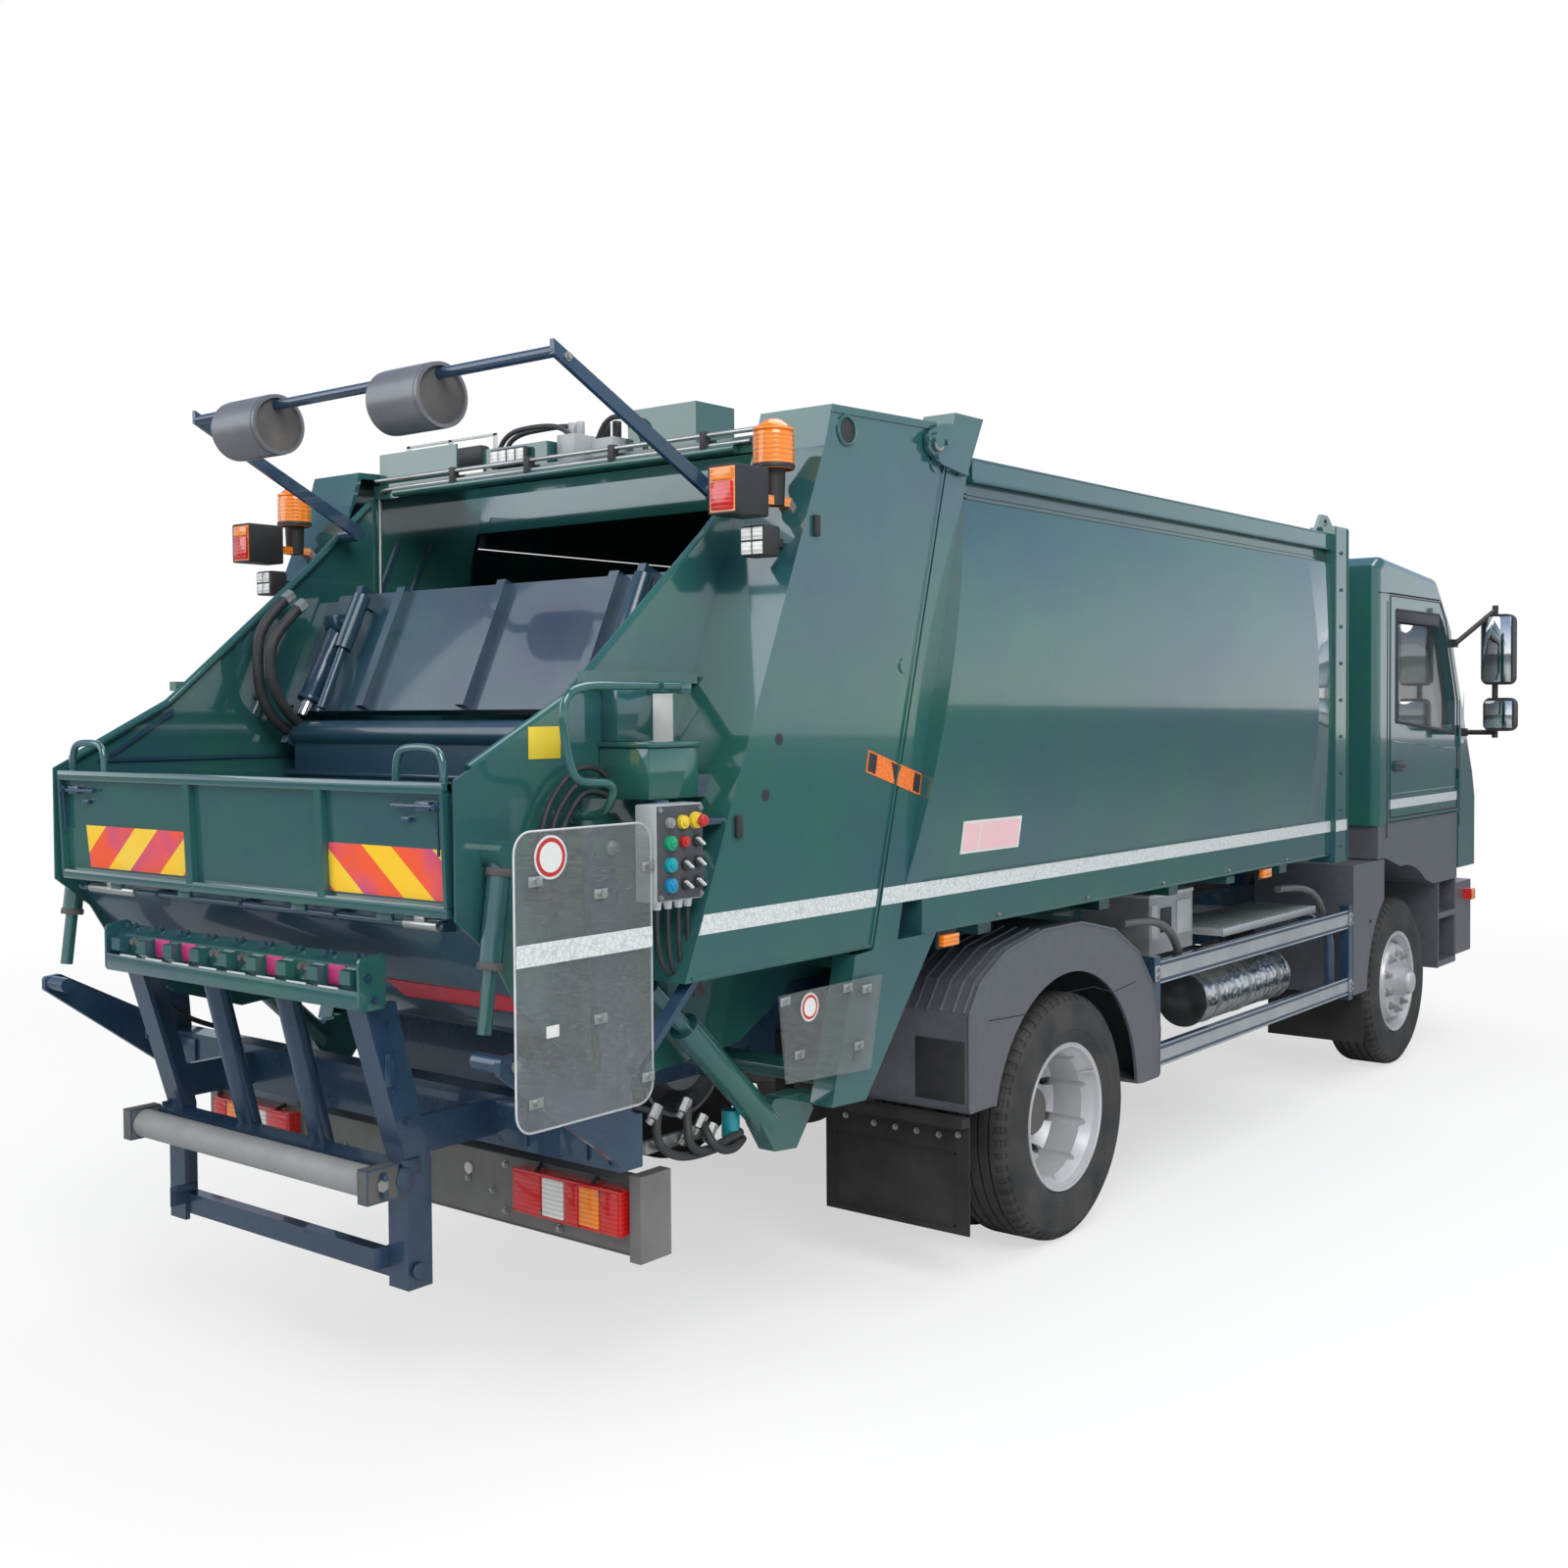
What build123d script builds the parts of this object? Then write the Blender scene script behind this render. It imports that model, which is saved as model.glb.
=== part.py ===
from build123d import *
from math import cos, pi, radians, sin
import os

os.makedirs("parts", exist_ok=True)

# Driving dimensions in millimetres. X points forward, Y to the left, Z up.
# Lengths along the truck are measured from the middle of the rear axle, heights from the ground.
rear_axle_x = -1102.0
wheelbase = 3620.0
gap = 0.3
running = 0.5
clear = 6.0

tyre_radius = 433.5
tyre_width = 262.0
rim_radius = 260.0
bead_radius = 247.6
rim_wall = 9.0
front_tyre_y = 990.0
outer_tyre_y = 1055.0
inner_tyre_y = 755.0
front_disc_radius = 185.0
hub_radius = 118.0
spindle_radius = 42.0
hub_inner_y = 636.0
kingpin_y = 860.0
kingpin_radius = 26.0

rail_outer_y = 430.0
rail_wall = 8.0
rail_flange = 75.0
rail_low_z = 680.0
rail_top_z = 920.0
rail_rear_x = -1700.0
rail_front_x = wheelbase + 1000.0

body_half_width = 1200.0
body_bulge = 55.0
floor_low_z = 1180.0
floor_sheet = 10.0
bottom_rail_top_z = 1342.0
bottom_rail_depth = 100.0
top_rail_low_z = 2530.0
roof_top_z = 2665.0
side_sheet = 8.0
box_rear_x = -640.0
box_front_x = wheelbase - 1190.0
front_frame_x = wheelbase - 1026.0
front_frame_low_z = 1146.0
front_frame_top_z = 2700.0
bulkhead_sheet = 12.0

seam_top_x = -796.0
seam_top_z = 2642.0
seam_slope = 0.2775
post_thickness = 120.0
post_top_z = 2795.0
tailgate_hinge_x = -880.0
tailgate_hinge_z = 2690.0
tailgate_pin_radius = 25.0

side_plate_y = 930.0
side_plate_sheet = 8.0
cover_sheet = 20.0
cover_low_z = 1171.0
pillar_top_x = -1417.0
pillar_top_z = 2614.0
pillar_low_x = -2020.0

tub_x = -1720.0
tub_z = 1800.0
tub_radius = 870.0
tub_sheet = 8.0
sill_x = -2470.0

blade_length = 830.0
blade_half_width = 880.0
blade_tube_radius = 45.0
blade_pin_radius = 28.0
carriage_length = 520.0
slide_lean_x = 0.42
slide_lean_z = 0.9075

flap_hinge_x = -2505.0
flap_hinge_z = 1343.0
flap_top_x = -2530.0
flap_top_z = 1700.0
flap_half_width = 900.0
hinge_rod_radius = 9.0
flap_sheet = 12.0

lift_pivot_x = -2146.0
lift_pivot_z = 1523.0
lift_pivot_radius = 30.0
lift_arm_y = 1008.0
lift_arm_thickness = 22.0
beam_x = -2080.0
beam_z = 755.0
beam_size = 80.0
beam_height = 140.0
beam_half_width = 1065.0
comb_half_width = 590.0
comb_rear_x = -2575.0
comb_front_x = -2497.0
comb_low_z = 1090.0
comb_top_z = 1245.0
post_y = 560.0
post_foot_x = -2400.0
post_head_x = -2530.0
post_depth = 80.0
lever_tip_x = -2500.0
foot_z = 350.0

lid_hinge_x = -1472.0
lid_hinge_z = 2500.0
lid_tip_x = -2109.0
lid_tip_z = 2832.0
lid_arm_y = 830.0

cab_rear_x = wheelbase - 420.0
cab_front_x = wheelbase + 1225.0
cab_half_width = 1150.0
cab_wall = 60.0
cab_floor_z = 1270.0
cab_low_z = 960.0
cab_tilt_x = wheelbase + 1160.0
cab_tilt_z = 930.0
cab_pin_radius = 12.0
door_rear_x = wheelbase - 250.0
door_front_x = wheelbase + 870.0
door_low_z = 1282.0
door_top_z = 2440.0
guard_rear_x = 705.0
guard_front_x = wheelbase - 800.0
arch_radius = 548.0
arch_band = 52.0


def at(x, y, z):
    """A point given from the middle of the rear axle, on the ground."""
    return (rear_axle_x + x, y, z)


def side(y):
    """An upright plane along the truck, drawn as X and Z, facing the right."""
    return Plane(origin=at(0, y, 0), x_dir=(1, 0, 0), z_dir=(0, -1, 0))


def box(x0, x1, y0, y1, z0, z1, mode=Mode.ADD):
    with Locations(at((x0 + x1) / 2, (y0 + y1) / 2, (z0 + z1) / 2)):
        Box(abs(x1 - x0), abs(y1 - y0), abs(z1 - z0), mode=mode)


def slab(points, y0, y1, mode=Mode.ADD, round_corners=0):
    """An outline in X and Z, as thick as from y0 to y1."""
    with BuildSketch(side(y1)) as outline:
        with BuildLine():
            Polyline(*points, close=True)
        make_face()
        if round_corners:
            fillet(outline.vertices(), round_corners)
    extrude(outline.sketch, amount=y1 - y0, mode=mode)


def disc(x, z, radius, y0, y1, mode=Mode.ADD):
    """A round piece whose axis lies across the truck."""
    with BuildSketch(side(y1)) as circle:
        with Locations((x, z)):
            Circle(radius)
    extrude(circle.sketch, amount=y1 - y0, mode=mode)


def bar(start, end, radius, mode=Mode.ADD):
    """A round bar between two points."""
    run = Vector(*end) - Vector(*start)
    with BuildSketch(Plane(origin=at(*start), z_dir=run)) as circle:
        Circle(radius)
    extrude(circle.sketch, amount=run.length, mode=mode)


def tube(points, radius, bend):
    """A bent round tube along a route with equal bends."""
    route = [at(*point) for point in points]
    with BuildLine() as line:
        FilletPolyline(*route, radius=bend)
    path = line.line
    with BuildSketch(Plane(origin=path @ 0, z_dir=path % 0)) as circle:
        Circle(radius)
    sweep(circle.sketch, path=path)


def ahead(points):
    """An outline whose lengths are given from the middle of the front axle."""
    return [(wheelbase + x, z) for x, z in points]


def bay(share):
    """A share of the way along the bay between the rear and the front wheels."""
    return guard_rear_x + share * (guard_front_x - guard_rear_x)


def pillar_x(z):
    """The pillars' rear face at one height."""
    return pillar_low_x + (pillar_top_x - pillar_low_x) * (z - cover_low_z) / (pillar_top_z - cover_low_z)


def seam_x(z):
    """The tailgate's front edge at one height."""
    return seam_top_x + seam_slope * (z - seam_top_z)


# Chassis: two channel rails with cross members and engine bearers
with BuildPart() as chassis_frame:
    box(rail_rear_x, rail_front_x, rail_outer_y - rail_wall, rail_outer_y, rail_low_z, rail_top_z)
    for z in (rail_low_z, rail_top_z - rail_wall):
        box(rail_rear_x, rail_front_x, rail_outer_y - rail_flange, rail_outer_y, z, z + rail_wall)
    mirror(about=Plane.XZ)
    for x in (rail_rear_x + 60, -560, 560, bay(0.42), wheelbase - 920, rail_front_x - 60):
        box(x - 40, x + 40, -rail_outer_y + rail_wall, rail_outer_y - rail_wall, 700, 900)
    for x in (wheelbase - 220, wheelbase + 580):
        box(x - 50, x + 50, -rail_outer_y + rail_wall, rail_outer_y - rail_wall, 688, 740)
    for sign in (1, -1):
        y0, y1 = sorted((sign * (rail_outer_y - 35), sign * rail_outer_y))
        pivot_arm = [(rail_front_x - 80, rail_top_z - 7)]
        pivot_arm += [(cab_tilt_x, cab_tilt_z - 22), (cab_tilt_x + 22, cab_tilt_z)]
        pivot_arm += [(cab_tilt_x, cab_tilt_z + 22), (rail_front_x - 80, cab_tilt_z + 15)]
        slab(pivot_arm, y0, y1)
        pin_y = sorted((sign * (rail_outer_y - 5), sign * (rail_outer_y + 30)))
        disc(cab_tilt_x, cab_tilt_z, cab_pin_radius, *pin_y)
        cab_post_y = (sign * (rail_outer_y - rail_flange), sign * rail_outer_y)
        box(cab_rear_x + 40, cab_rear_x + 100, *cab_post_y, rail_top_z - 1, cab_floor_z - gap)
chassis_frame.part.label = "chassis_frame"
export_step(chassis_frame.part, "parts/chassis_frame.step")

# The engine stays one plain block between the rails
with BuildPart() as engine:
    box(wheelbase - 290, wheelbase + 650, -320, 320, 740 + gap, 1190)
    box(wheelbase - 168, wheelbase + 528, -250, 250, 560, 740 + gap)
engine.part.label = "engine"
export_step(engine.part, "parts/engine.step")

spring_y = rail_outer_y - rail_flange / 2
spring_half_width = 35.0
spring_eye_z = 600.0
spring_seat_z = 512.0
spring_leaf = 60.0
front_spring_reach = 720.0
rear_spring_reach = 760.0


def leaf_pack(x, reach, seat_z):
    """A bowed leaf spring under one rail, with a hanger at each end."""
    eye = (x - reach, spring_eye_z)
    far = (x + reach, spring_eye_z)
    top_z = spring_eye_z + spring_leaf
    with BuildSketch(side(spring_y + spring_half_width)) as leaf:
        with BuildLine():
            ThreePointArc(eye, (x, seat_z), far)
            Line(far, (far[0], top_z))
            ThreePointArc((far[0], top_z), (x, seat_z + spring_leaf), (eye[0], top_z))
            Line((eye[0], top_z), eye)
        make_face()
    extrude(leaf.sketch, amount=2 * spring_half_width)
    for end in (x - reach, x + reach):
        hanger = (end - 35, end + 35, spring_y - spring_half_width, spring_y + spring_half_width)
        box(*hanger, spring_eye_z, rail_low_z - gap)


# Front axle: a dropped beam with a king pin at each end, on two leaf springs
with BuildPart() as front_axle:
    leaf_pack(wheelbase, front_spring_reach, spring_seat_z)
    box(wheelbase - 55, wheelbase + 55, 0, kingpin_y - 72, 400, spring_seat_z + 10)
    box(wheelbase - 42, wheelbase + 42, kingpin_y - 80, kingpin_y, tyre_radius - 42, tyre_radius + 42)
    with Locations(at(wheelbase, kingpin_y, tyre_radius)):
        Cylinder(42, 84)
        Cylinder(kingpin_radius, 240)
    mirror(about=Plane.XZ)
front_axle.part.label = "front_axle"
export_step(front_axle.part, "parts/front_axle.step")

# Rear axle: a round housing with the drive gear's bulge, spindles and springs
with BuildPart() as rear_axle:
    leaf_pack(0, rear_spring_reach, spring_seat_z)
    box(-60, 60, spring_y - spring_half_width, spring_y + spring_half_width, tyre_radius, spring_seat_z + 20)
    disc(0, tyre_radius, 68, 0, hub_inner_y - clear)
    disc(0, tyre_radius, spindle_radius, 0, outer_tyre_y - 60)
    mirror(about=Plane.XZ)
    with Locations(at(0, 0, tyre_radius)):
        Sphere(190)
rear_axle.part.label = "rear_axle"
export_step(rear_axle.part, "parts/rear_axle.step")


def ring(points, x, y):
    """A profile of offsets and radii, revolved about a wheel's axis."""
    with BuildSketch(Plane(origin=at(x, y, tyre_radius), x_dir=(0, 1, 0), z_dir=(1, 0, 0))) as section:
        with BuildLine():
            Polyline(*points, close=True)
        make_face()
    revolve(section.sketch, axis=Axis(at(x, y, tyre_radius), (0, 1, 0)))


tyre_facets = 48


def tyre(x, y):
    """A tyre of flat facets: its profile, turned in even steps about its axle."""
    turns = [2 * pi * (index + 0.5) / tyre_facets for index in range(tyre_facets + 1)]
    facets = []
    for (a0, r0), (a1, r1) in zip(tyre_profile, tyre_profile[1:] + tyre_profile[:1]):
        for t0, t1 in zip(turns, turns[1:]):
            corners = [(a0, r0, t0), (a1, r1, t0), (a1, r1, t1), (a0, r0, t1)]
            points = [at(x + r * sin(t), y + a, tyre_radius - r * cos(t)) for a, r, t in corners]
            facets.append(Face(Wire.make_polygon(points)))
    return Solid(Shell(facets))


half_tyre = tyre_width / 2
tyre_half = [
    (half_tyre - 34, bead_radius + gap),
    (half_tyre - 6, rim_radius + 22),
    (half_tyre, tyre_radius - 95),
    (half_tyre - 12, tyre_radius - 26),
    (half_tyre - 50, tyre_radius),
]
# Radii grow a little, so that the flats, not the corners, lie at the real radius
to_corner = 1 / cos(pi / tyre_facets)
tyre_profile = [(y, r * to_corner) for y, r in tyre_half]
tyre_profile += [(-y, r * to_corner) for y, r in reversed(tyre_half)]
# One half of a rim's barrel: its flange, its bead seat and its well
rim_half = [(half_tyre - 22, rim_radius), (half_tyre - 14, rim_radius), (half_tyre - 14, rim_radius - 16)]
rim_inner = [(half_tyre - 34, bead_radius - rim_wall), (half_tyre - 75, bead_radius - rim_wall - 18)]
rim_outer = [(half_tyre - 75, bead_radius - 18), (half_tyre - 34, bead_radius)]
rim_right = rim_inner[::-1] + rim_half[::-1] + rim_outer[::-1]
rim_profile = rim_right + [(-y, r) for y, r in reversed(rim_right)]
# Which side of the truck, as its name and the sign of Y
sides = (("left", 1), ("right", -1))

# Front wheels: a tyre, a rim whose disc stands out, and a hub that turns on its spindle
disc_thickness = 14.0
hand_hole_radius = 17.0
hand_holes = 10
for name, sign in sides:
    front_ring = tyre(wheelbase, sign * front_tyre_y)
    with BuildPart() as front_tyre:
        add(front_ring)
    front_tyre.part.label = f"front_tyre_{name}"
    export_step(front_tyre.part, f"parts/front_tyre_{name}.step")

    face_y = half_tyre - 18
    with BuildPart() as front_rim:
        ring(rim_profile, wheelbase, sign * front_tyre_y)
        dish = [
            (sign * 30, rim_radius - rim_wall - 30),
            (sign * 40, rim_radius - rim_wall - 30),
            (sign * face_y, front_disc_radius),
            (sign * face_y, spindle_radius + 30),
            (sign * (face_y + 62), spindle_radius + 30),
            (sign * (face_y + 62), 60),
            (sign * (face_y - 20), 60),
            (sign * (face_y - 20), front_disc_radius - 12),
            (sign * 16, rim_radius - rim_wall - 30),
        ]
        ring(dish, wheelbase, sign * front_tyre_y)
        hub = [(sign * -60, hub_radius), (sign * (face_y - 20), hub_radius), (sign * (face_y - 20), 60)]
        bore_radius = spindle_radius + running
        hub += [(sign * 40, 60), (sign * 40, bore_radius), (sign * -60, bore_radius)]
        ring(hub, wheelbase, sign * front_tyre_y)
        with Locations(Plane(origin=at(wheelbase, sign * front_tyre_y, tyre_radius), z_dir=(0, sign, 0))):
            with PolarLocations(rim_radius - 48, hand_holes):
                Cylinder(hand_hole_radius, 3 * tyre_width, mode=Mode.SUBTRACT)
    front_rim.part.label = f"front_rim_{name}"
    export_step(front_rim.part, f"parts/front_rim_{name}.step")

# Rear wheels: twin tyres and rims on one dished hub
for name, sign in sides:
    rear_rings = [tyre(0, sign * y) for y in (outer_tyre_y, inner_tyre_y)]
    with BuildPart() as rear_tyres:
        add(rear_rings)
    rear_tyres.part.label = f"rear_tyres_{name}"
    export_step(rear_tyres.part, f"parts/rear_tyres_{name}.step")

    middle_y = (outer_tyre_y + inner_tyre_y) / 2
    twin_reach = (outer_tyre_y - inner_tyre_y) / 2
    with BuildPart() as rear_rims:
        for y, away in ((outer_tyre_y, 1), (inner_tyre_y, -1)):
            ring(rim_profile, 0, sign * y)
            out = sign * away
            cone = [
                (out * disc_thickness, 60),
                (0, 60),
                (0, front_disc_radius - 10),
                (out * (twin_reach - 60), rim_radius - rim_wall - 12),
                (out * (twin_reach - 30), rim_radius - rim_wall - 12),
                (out * disc_thickness, front_disc_radius - 10),
            ]
            ring(cone, 0, sign * middle_y)
        hub = [
            (sign * (hub_inner_y - middle_y), hub_radius + 30),
            (sign * -disc_thickness, hub_radius + 30),
            (sign * -disc_thickness, front_disc_radius - 20),
            (sign * disc_thickness, front_disc_radius - 20),
            (sign * disc_thickness, hub_radius),
            (sign * 120, hub_radius - 20),
            (sign * 120, 0.01),
            (sign * 100, 0.01),
            (sign * 100, spindle_radius + running),
            (sign * (hub_inner_y - middle_y), spindle_radius + running),
        ]
        ring(hub, 0, sign * middle_y)
        with Locations(Plane(origin=at(0, sign * middle_y, tyre_radius), z_dir=(0, sign, 0))):
            with PolarLocations(rim_radius - 48, hand_holes):
                Cylinder(hand_hole_radius, 3 * tyre_width, mode=Mode.SUBTRACT)
    rear_rims.part.label = f"rear_rims_{name}"
    export_step(rear_rims.part, f"parts/rear_rims_{name}.step")

# Steering knuckles: a fork round the beam's end, a spindle and a steering arm
for name, sign in sides:
    with BuildPart() as knuckle:
        for z0, z1 in ((tyre_radius - 100, tyre_radius - 50), (tyre_radius + 50, tyre_radius + 100)):
            box(wheelbase - 45, wheelbase + 45, sign * (kingpin_y - 45), sign * (kingpin_y + 62), z0, z1)
        box(wheelbase - 45, wheelbase + 45, sign * (kingpin_y + 50), sign * (kingpin_y + 62), 340, 530)
        for y1, radius in ((kingpin_y + 52, 60), (front_tyre_y + 20, spindle_radius)):
            y0 = kingpin_y + 50
            disc(wheelbase, tyre_radius, radius, min(sign * y0, sign * y1), max(sign * y0, sign * y1))
        box(wheelbase - 230, wheelbase - 40, sign * (kingpin_y - 30), sign * kingpin_y, 338, 360)
        with Locations(at(wheelbase, sign * kingpin_y, tyre_radius)):
            Cylinder(kingpin_radius + running, 300, mode=Mode.SUBTRACT)
    knuckle.part.label = f"knuckle_{name}"
    export_step(knuckle.part, f"parts/knuckle_{name}.step")


# Container: a floor on bearers, two bulging side sheets, a roof, a front frame and a rear frame
inner_y = body_half_width - bottom_rail_depth
subframe_y = rail_outer_y - rail_flange / 2
bearers = (-420, 420, bay(0.14), bay(0.4), box_front_x - 310)
with BuildPart() as container_floor:
    box(box_rear_x - 300, box_front_x, gap - inner_y, inner_y - gap, floor_low_z, floor_low_z + floor_sheet)
    box(-1240, box_front_x, subframe_y - 35, subframe_y + 35, rail_top_z + gap, floor_low_z - 60)
    mirror(about=Plane.XZ)
    for x in bearers:
        box(x - 40, x + 40, gap - inner_y, inner_y - gap, floor_low_z - 60, floor_low_z)
    rear_cut = [(-2000, 1100), (seam_x(1100) + 130, 1100), (seam_x(1500) + 130, 1500), (-2000, 1500)]
    slab(rear_cut, -1300, 1300, mode=Mode.SUBTRACT)
container_floor.part.label = "container_floor"
export_step(container_floor.part, "parts/container_floor.step")

side_low = (body_half_width - side_sheet, bottom_rail_top_z)
side_high = (body_half_width - side_sheet, top_rail_low_z - gap)
side_middle_z = (bottom_rail_top_z + top_rail_low_z) / 2
taper_x = box_front_x - 280


def side_section(x, bulge, sheet, mode=Mode.ADD):
    """The side's curved section at one place along the container, as thick as its sheet."""
    with BuildSketch(Plane(origin=at(x, 0, 0), x_dir=(0, 1, 0), z_dir=(1, 0, 0))) as section:
        with BuildLine():
            outer_y = side_low[0] + side_sheet
            Line(side_low, (outer_y, side_low[1]))
            ThreePointArc((outer_y, side_low[1]), (outer_y + bulge, side_middle_z), (outer_y, side_high[1]))
            Line((outer_y, side_high[1]), side_high)
            ThreePointArc(side_high, (outer_y + bulge - sheet, side_middle_z), side_low)
        make_face()
    return section.sketch


with BuildPart() as container_sides:
    extrude(side_section(taper_x, body_bulge, side_sheet), amount=-(taper_x - box_rear_x + 400))
    wide_end = side_section(taper_x, body_bulge, side_sheet)
    narrow_end = side_section(box_front_x - gap, 10, side_sheet)
    loft([wide_end.face(), narrow_end.face()])
    box(box_rear_x - 300, box_front_x, inner_y, body_half_width, floor_low_z, bottom_rail_top_z)
    rear_cut = [(-2000, 1100), (seam_x(1100) + 130, 1100), (seam_x(2700) + 130, 2700), (-2000, 2700)]
    slab(rear_cut, inner_y - 1, 1300, mode=Mode.SUBTRACT)
    with BuildPart(mode=Mode.PRIVATE) as end_cap:
        extrude(side_section(box_rear_x + 200, body_bulge, body_bulge + 7), amount=-700)
        band = [(seam_x(1100) + 130, 1100), (seam_x(1100) + 140, 1100)]
        band += [(seam_x(2700) + 140, 2700), (seam_x(2700) + 130, 2700)]
        slab(band, 1100, 1300, mode=Mode.INTERSECT)
    add(end_cap.part)
    mirror(about=Plane.XZ)
container_sides.part.label = "container_sides"
export_step(container_sides.part, "parts/container_sides.step")

# The roof starts at the rear frame's header, and its side rails at the posts' leaning front edge
post_head_front_x = -577.0
roof_rear_x = seam_x(roof_top_z - 17) + post_thickness + 8 + gap
post_knee_x = seam_x(2600) + post_thickness + 10
post_lean = (post_head_front_x - post_knee_x) / (post_top_z - 2600)
roof_rail_x = post_knee_x + post_lean * (roof_top_z - 2600) + gap
with BuildPart() as container_roof:
    box(roof_rail_x, box_front_x, -inner_y, inner_y, roof_top_z - 25, roof_top_z - 17)
    sheet_y = body_half_width - post_thickness - gap
    box(roof_rear_x, roof_rail_x, -sheet_y, sheet_y, roof_top_z - 25, roof_top_z - 17)
    box(roof_rail_x, box_front_x, inner_y, body_half_width, top_rail_low_z + 60, roof_top_z)
    box(roof_rail_x, box_front_x, inner_y, body_half_width - 30, top_rail_low_z, top_rail_low_z + 60)
    mirror(about=Plane.XZ)
container_roof.part.label = "container_roof"
export_step(container_roof.part, "parts/container_roof.step")

lug_x = front_frame_x - 94.0
lug_z = 2722.0
lug_hole_radius = 20.0
lug_length = 16.0
with BuildPart() as container_front:
    box(box_front_x + gap, box_front_x + bulkhead_sheet, -inner_y, inner_y, floor_low_z, roof_top_z)
    box(box_front_x + gap, front_frame_x, inner_y, body_half_width + 20, front_frame_low_z, front_frame_top_z)
    mirror(about=Plane.XZ)
    box(box_front_x + gap, front_frame_x, -inner_y, inner_y, roof_top_z - 80, roof_top_z)
    box(box_front_x + gap, front_frame_x, -inner_y, inner_y, floor_low_z, floor_low_z + 80)
    box(box_front_x + gap, front_frame_x, -40, 40, floor_low_z, roof_top_z)
    lug = [(lug_x - 130, roof_top_z + gap), (lug_x - 50, lug_z + 38), (lug_x + 30, lug_z + 38)]
    lug += [(front_frame_x - 6, front_frame_top_z + 20), (front_frame_x - 6, roof_top_z + gap)]
    for sign in (1, -1):
        y = sign * (body_half_width - 60)
        slab(lug, y - lug_length / 2, y + lug_length / 2)
        disc(lug_x, lug_z, lug_hole_radius, y - 30, y + 30, mode=Mode.SUBTRACT)
container_front.part.label = "container_front"
export_step(container_front.part, "parts/container_front.step")

# Rear frame: slanted posts that carry the tailgate's hinges, a header and two legs down to the chassis
leg_inner_y = body_half_width - 80
# Cylinders that raise the tailgate stand on brackets at the foot of the legs
ram_y = 1040.0
with BuildPart() as rear_frame:
    post = [
        (seam_x(floor_low_z) + clear * 2, floor_low_z),
        (seam_x(post_top_z) + clear * 2, post_top_z),
        (post_head_front_x, post_top_z),
        (post_knee_x - gap, 2600),
        (seam_x(floor_low_z) + 130 - gap, floor_low_z),
    ]
    slab(post, body_half_width - post_thickness, body_half_width)
    leg = [(seam_x(floor_low_z) + clear * 2, floor_low_z), (-860, floor_low_z), (-1235, 727), (-1401, 735)]
    leg += [(-1297, 1100), (-1285, 1158), (-1197, 1163)]
    slab(leg, leg_inner_y, body_half_width)
    cheek = [(-700, 2600), (-700, 2760), (-850, 2745)]
    cheek += [(tailgate_hinge_x - 45, tailgate_hinge_z + 20), (tailgate_hinge_x - 45, tailgate_hinge_z - 30)]
    cheek += [(-850, 2620)]
    slab(cheek, body_half_width + clear, body_half_width + 22)
    bar((-1500, ram_y, 690), (-1850, ram_y, 1020), 42)
    bar((-1850, ram_y, 1020), (-1980, ram_y, 1142), 24)
    foot = [(-1320, 700), (-1400, 600), (-1500, 610), (-1560, 700), (-1500, 760), (-1360, 760)]
    slab(foot, ram_y - 30, ram_y + 30)
    box(-1390, -1330, ram_y, leg_inner_y + 5, 735, 760)
    foot = [(-700, 2600), (-700, 2760), (-735, 2760), (-735, 2600)]
    slab(foot, body_half_width, body_half_width + clear + 1)
    mirror(about=Plane.XZ)
    for z0, z1 in ((2560, 2720), (1100, 1190)):
        beam = [(seam_x(z0) + 12, z0), (seam_x(z1) + 12, z1), (seam_x(z1) + 128, z1), (seam_x(z0) + 128, z0)]
        slab(beam, -body_half_width + post_thickness, body_half_width - post_thickness)
    for sign in (1, -1):
        bar((-1290, sign * (rail_outer_y + gap), 800), (-1290, sign * (leg_inner_y + 10), 800), 35)
    for sign in (1, -1):
        y = sign * (body_half_width - 10)
        pin_hole = (tailgate_hinge_x, tailgate_hinge_z, tailgate_pin_radius + running)
        disc(*pin_hole, y - 60, y + 60, mode=Mode.SUBTRACT)
rear_frame.part.label = "rear_frame"
export_step(rear_frame.part, "parts/rear_frame.step")


# Side guards between the wheels: two rails and end posts, held by bent tubes
guard_y = 1135.0
guard_sheet = 25.0
guard_tube_radius = 24.0
guard_tube_z = 860.0
with BuildPart() as side_guards:
    for z0, z1 in ((800, 890), (480, 565)):
        box(guard_rear_x + 40, guard_front_x - 40, guard_y, guard_y + guard_sheet, z0, z1)
    for x in (guard_rear_x, guard_front_x - 50):
        box(x, x + 50, guard_y - 15, guard_y + guard_sheet + 5, 455, 910)
    for x in (guard_rear_x + 95, guard_front_x - 170):
        y = guard_y - guard_tube_radius + 2
        route = [(x, rail_outer_y + gap, guard_tube_z), (x, y, guard_tube_z), (x, y, 480)]
        tube(route, guard_tube_radius, 130)
    mirror(about=Plane.XZ)
side_guards.part.label = "side_guards"
export_step(side_guards.part, "parts/side_guards.step")

silencer_x = (bay(0.376), bay(0.81))
silencer_radius = 115.0
silencer_y = -900.0
silencer_z = 610.0
with BuildPart() as silencer:
    bar((silencer_x[0], silencer_y, silencer_z), (silencer_x[1], silencer_y, silencer_z), silencer_radius)
    bar((silencer_x[1], silencer_y, silencer_z), (silencer_x[1] + 140, silencer_y, silencer_z), 50)
    for x in (silencer_x[0] + 150, silencer_x[1] - 170):
        box(x - 20, x + 20, silencer_y, -rail_outer_y - gap, silencer_z + 90, silencer_z + 115)
silencer.part.label = "silencer"
export_step(silencer.part, "parts/silencer.step")

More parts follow.
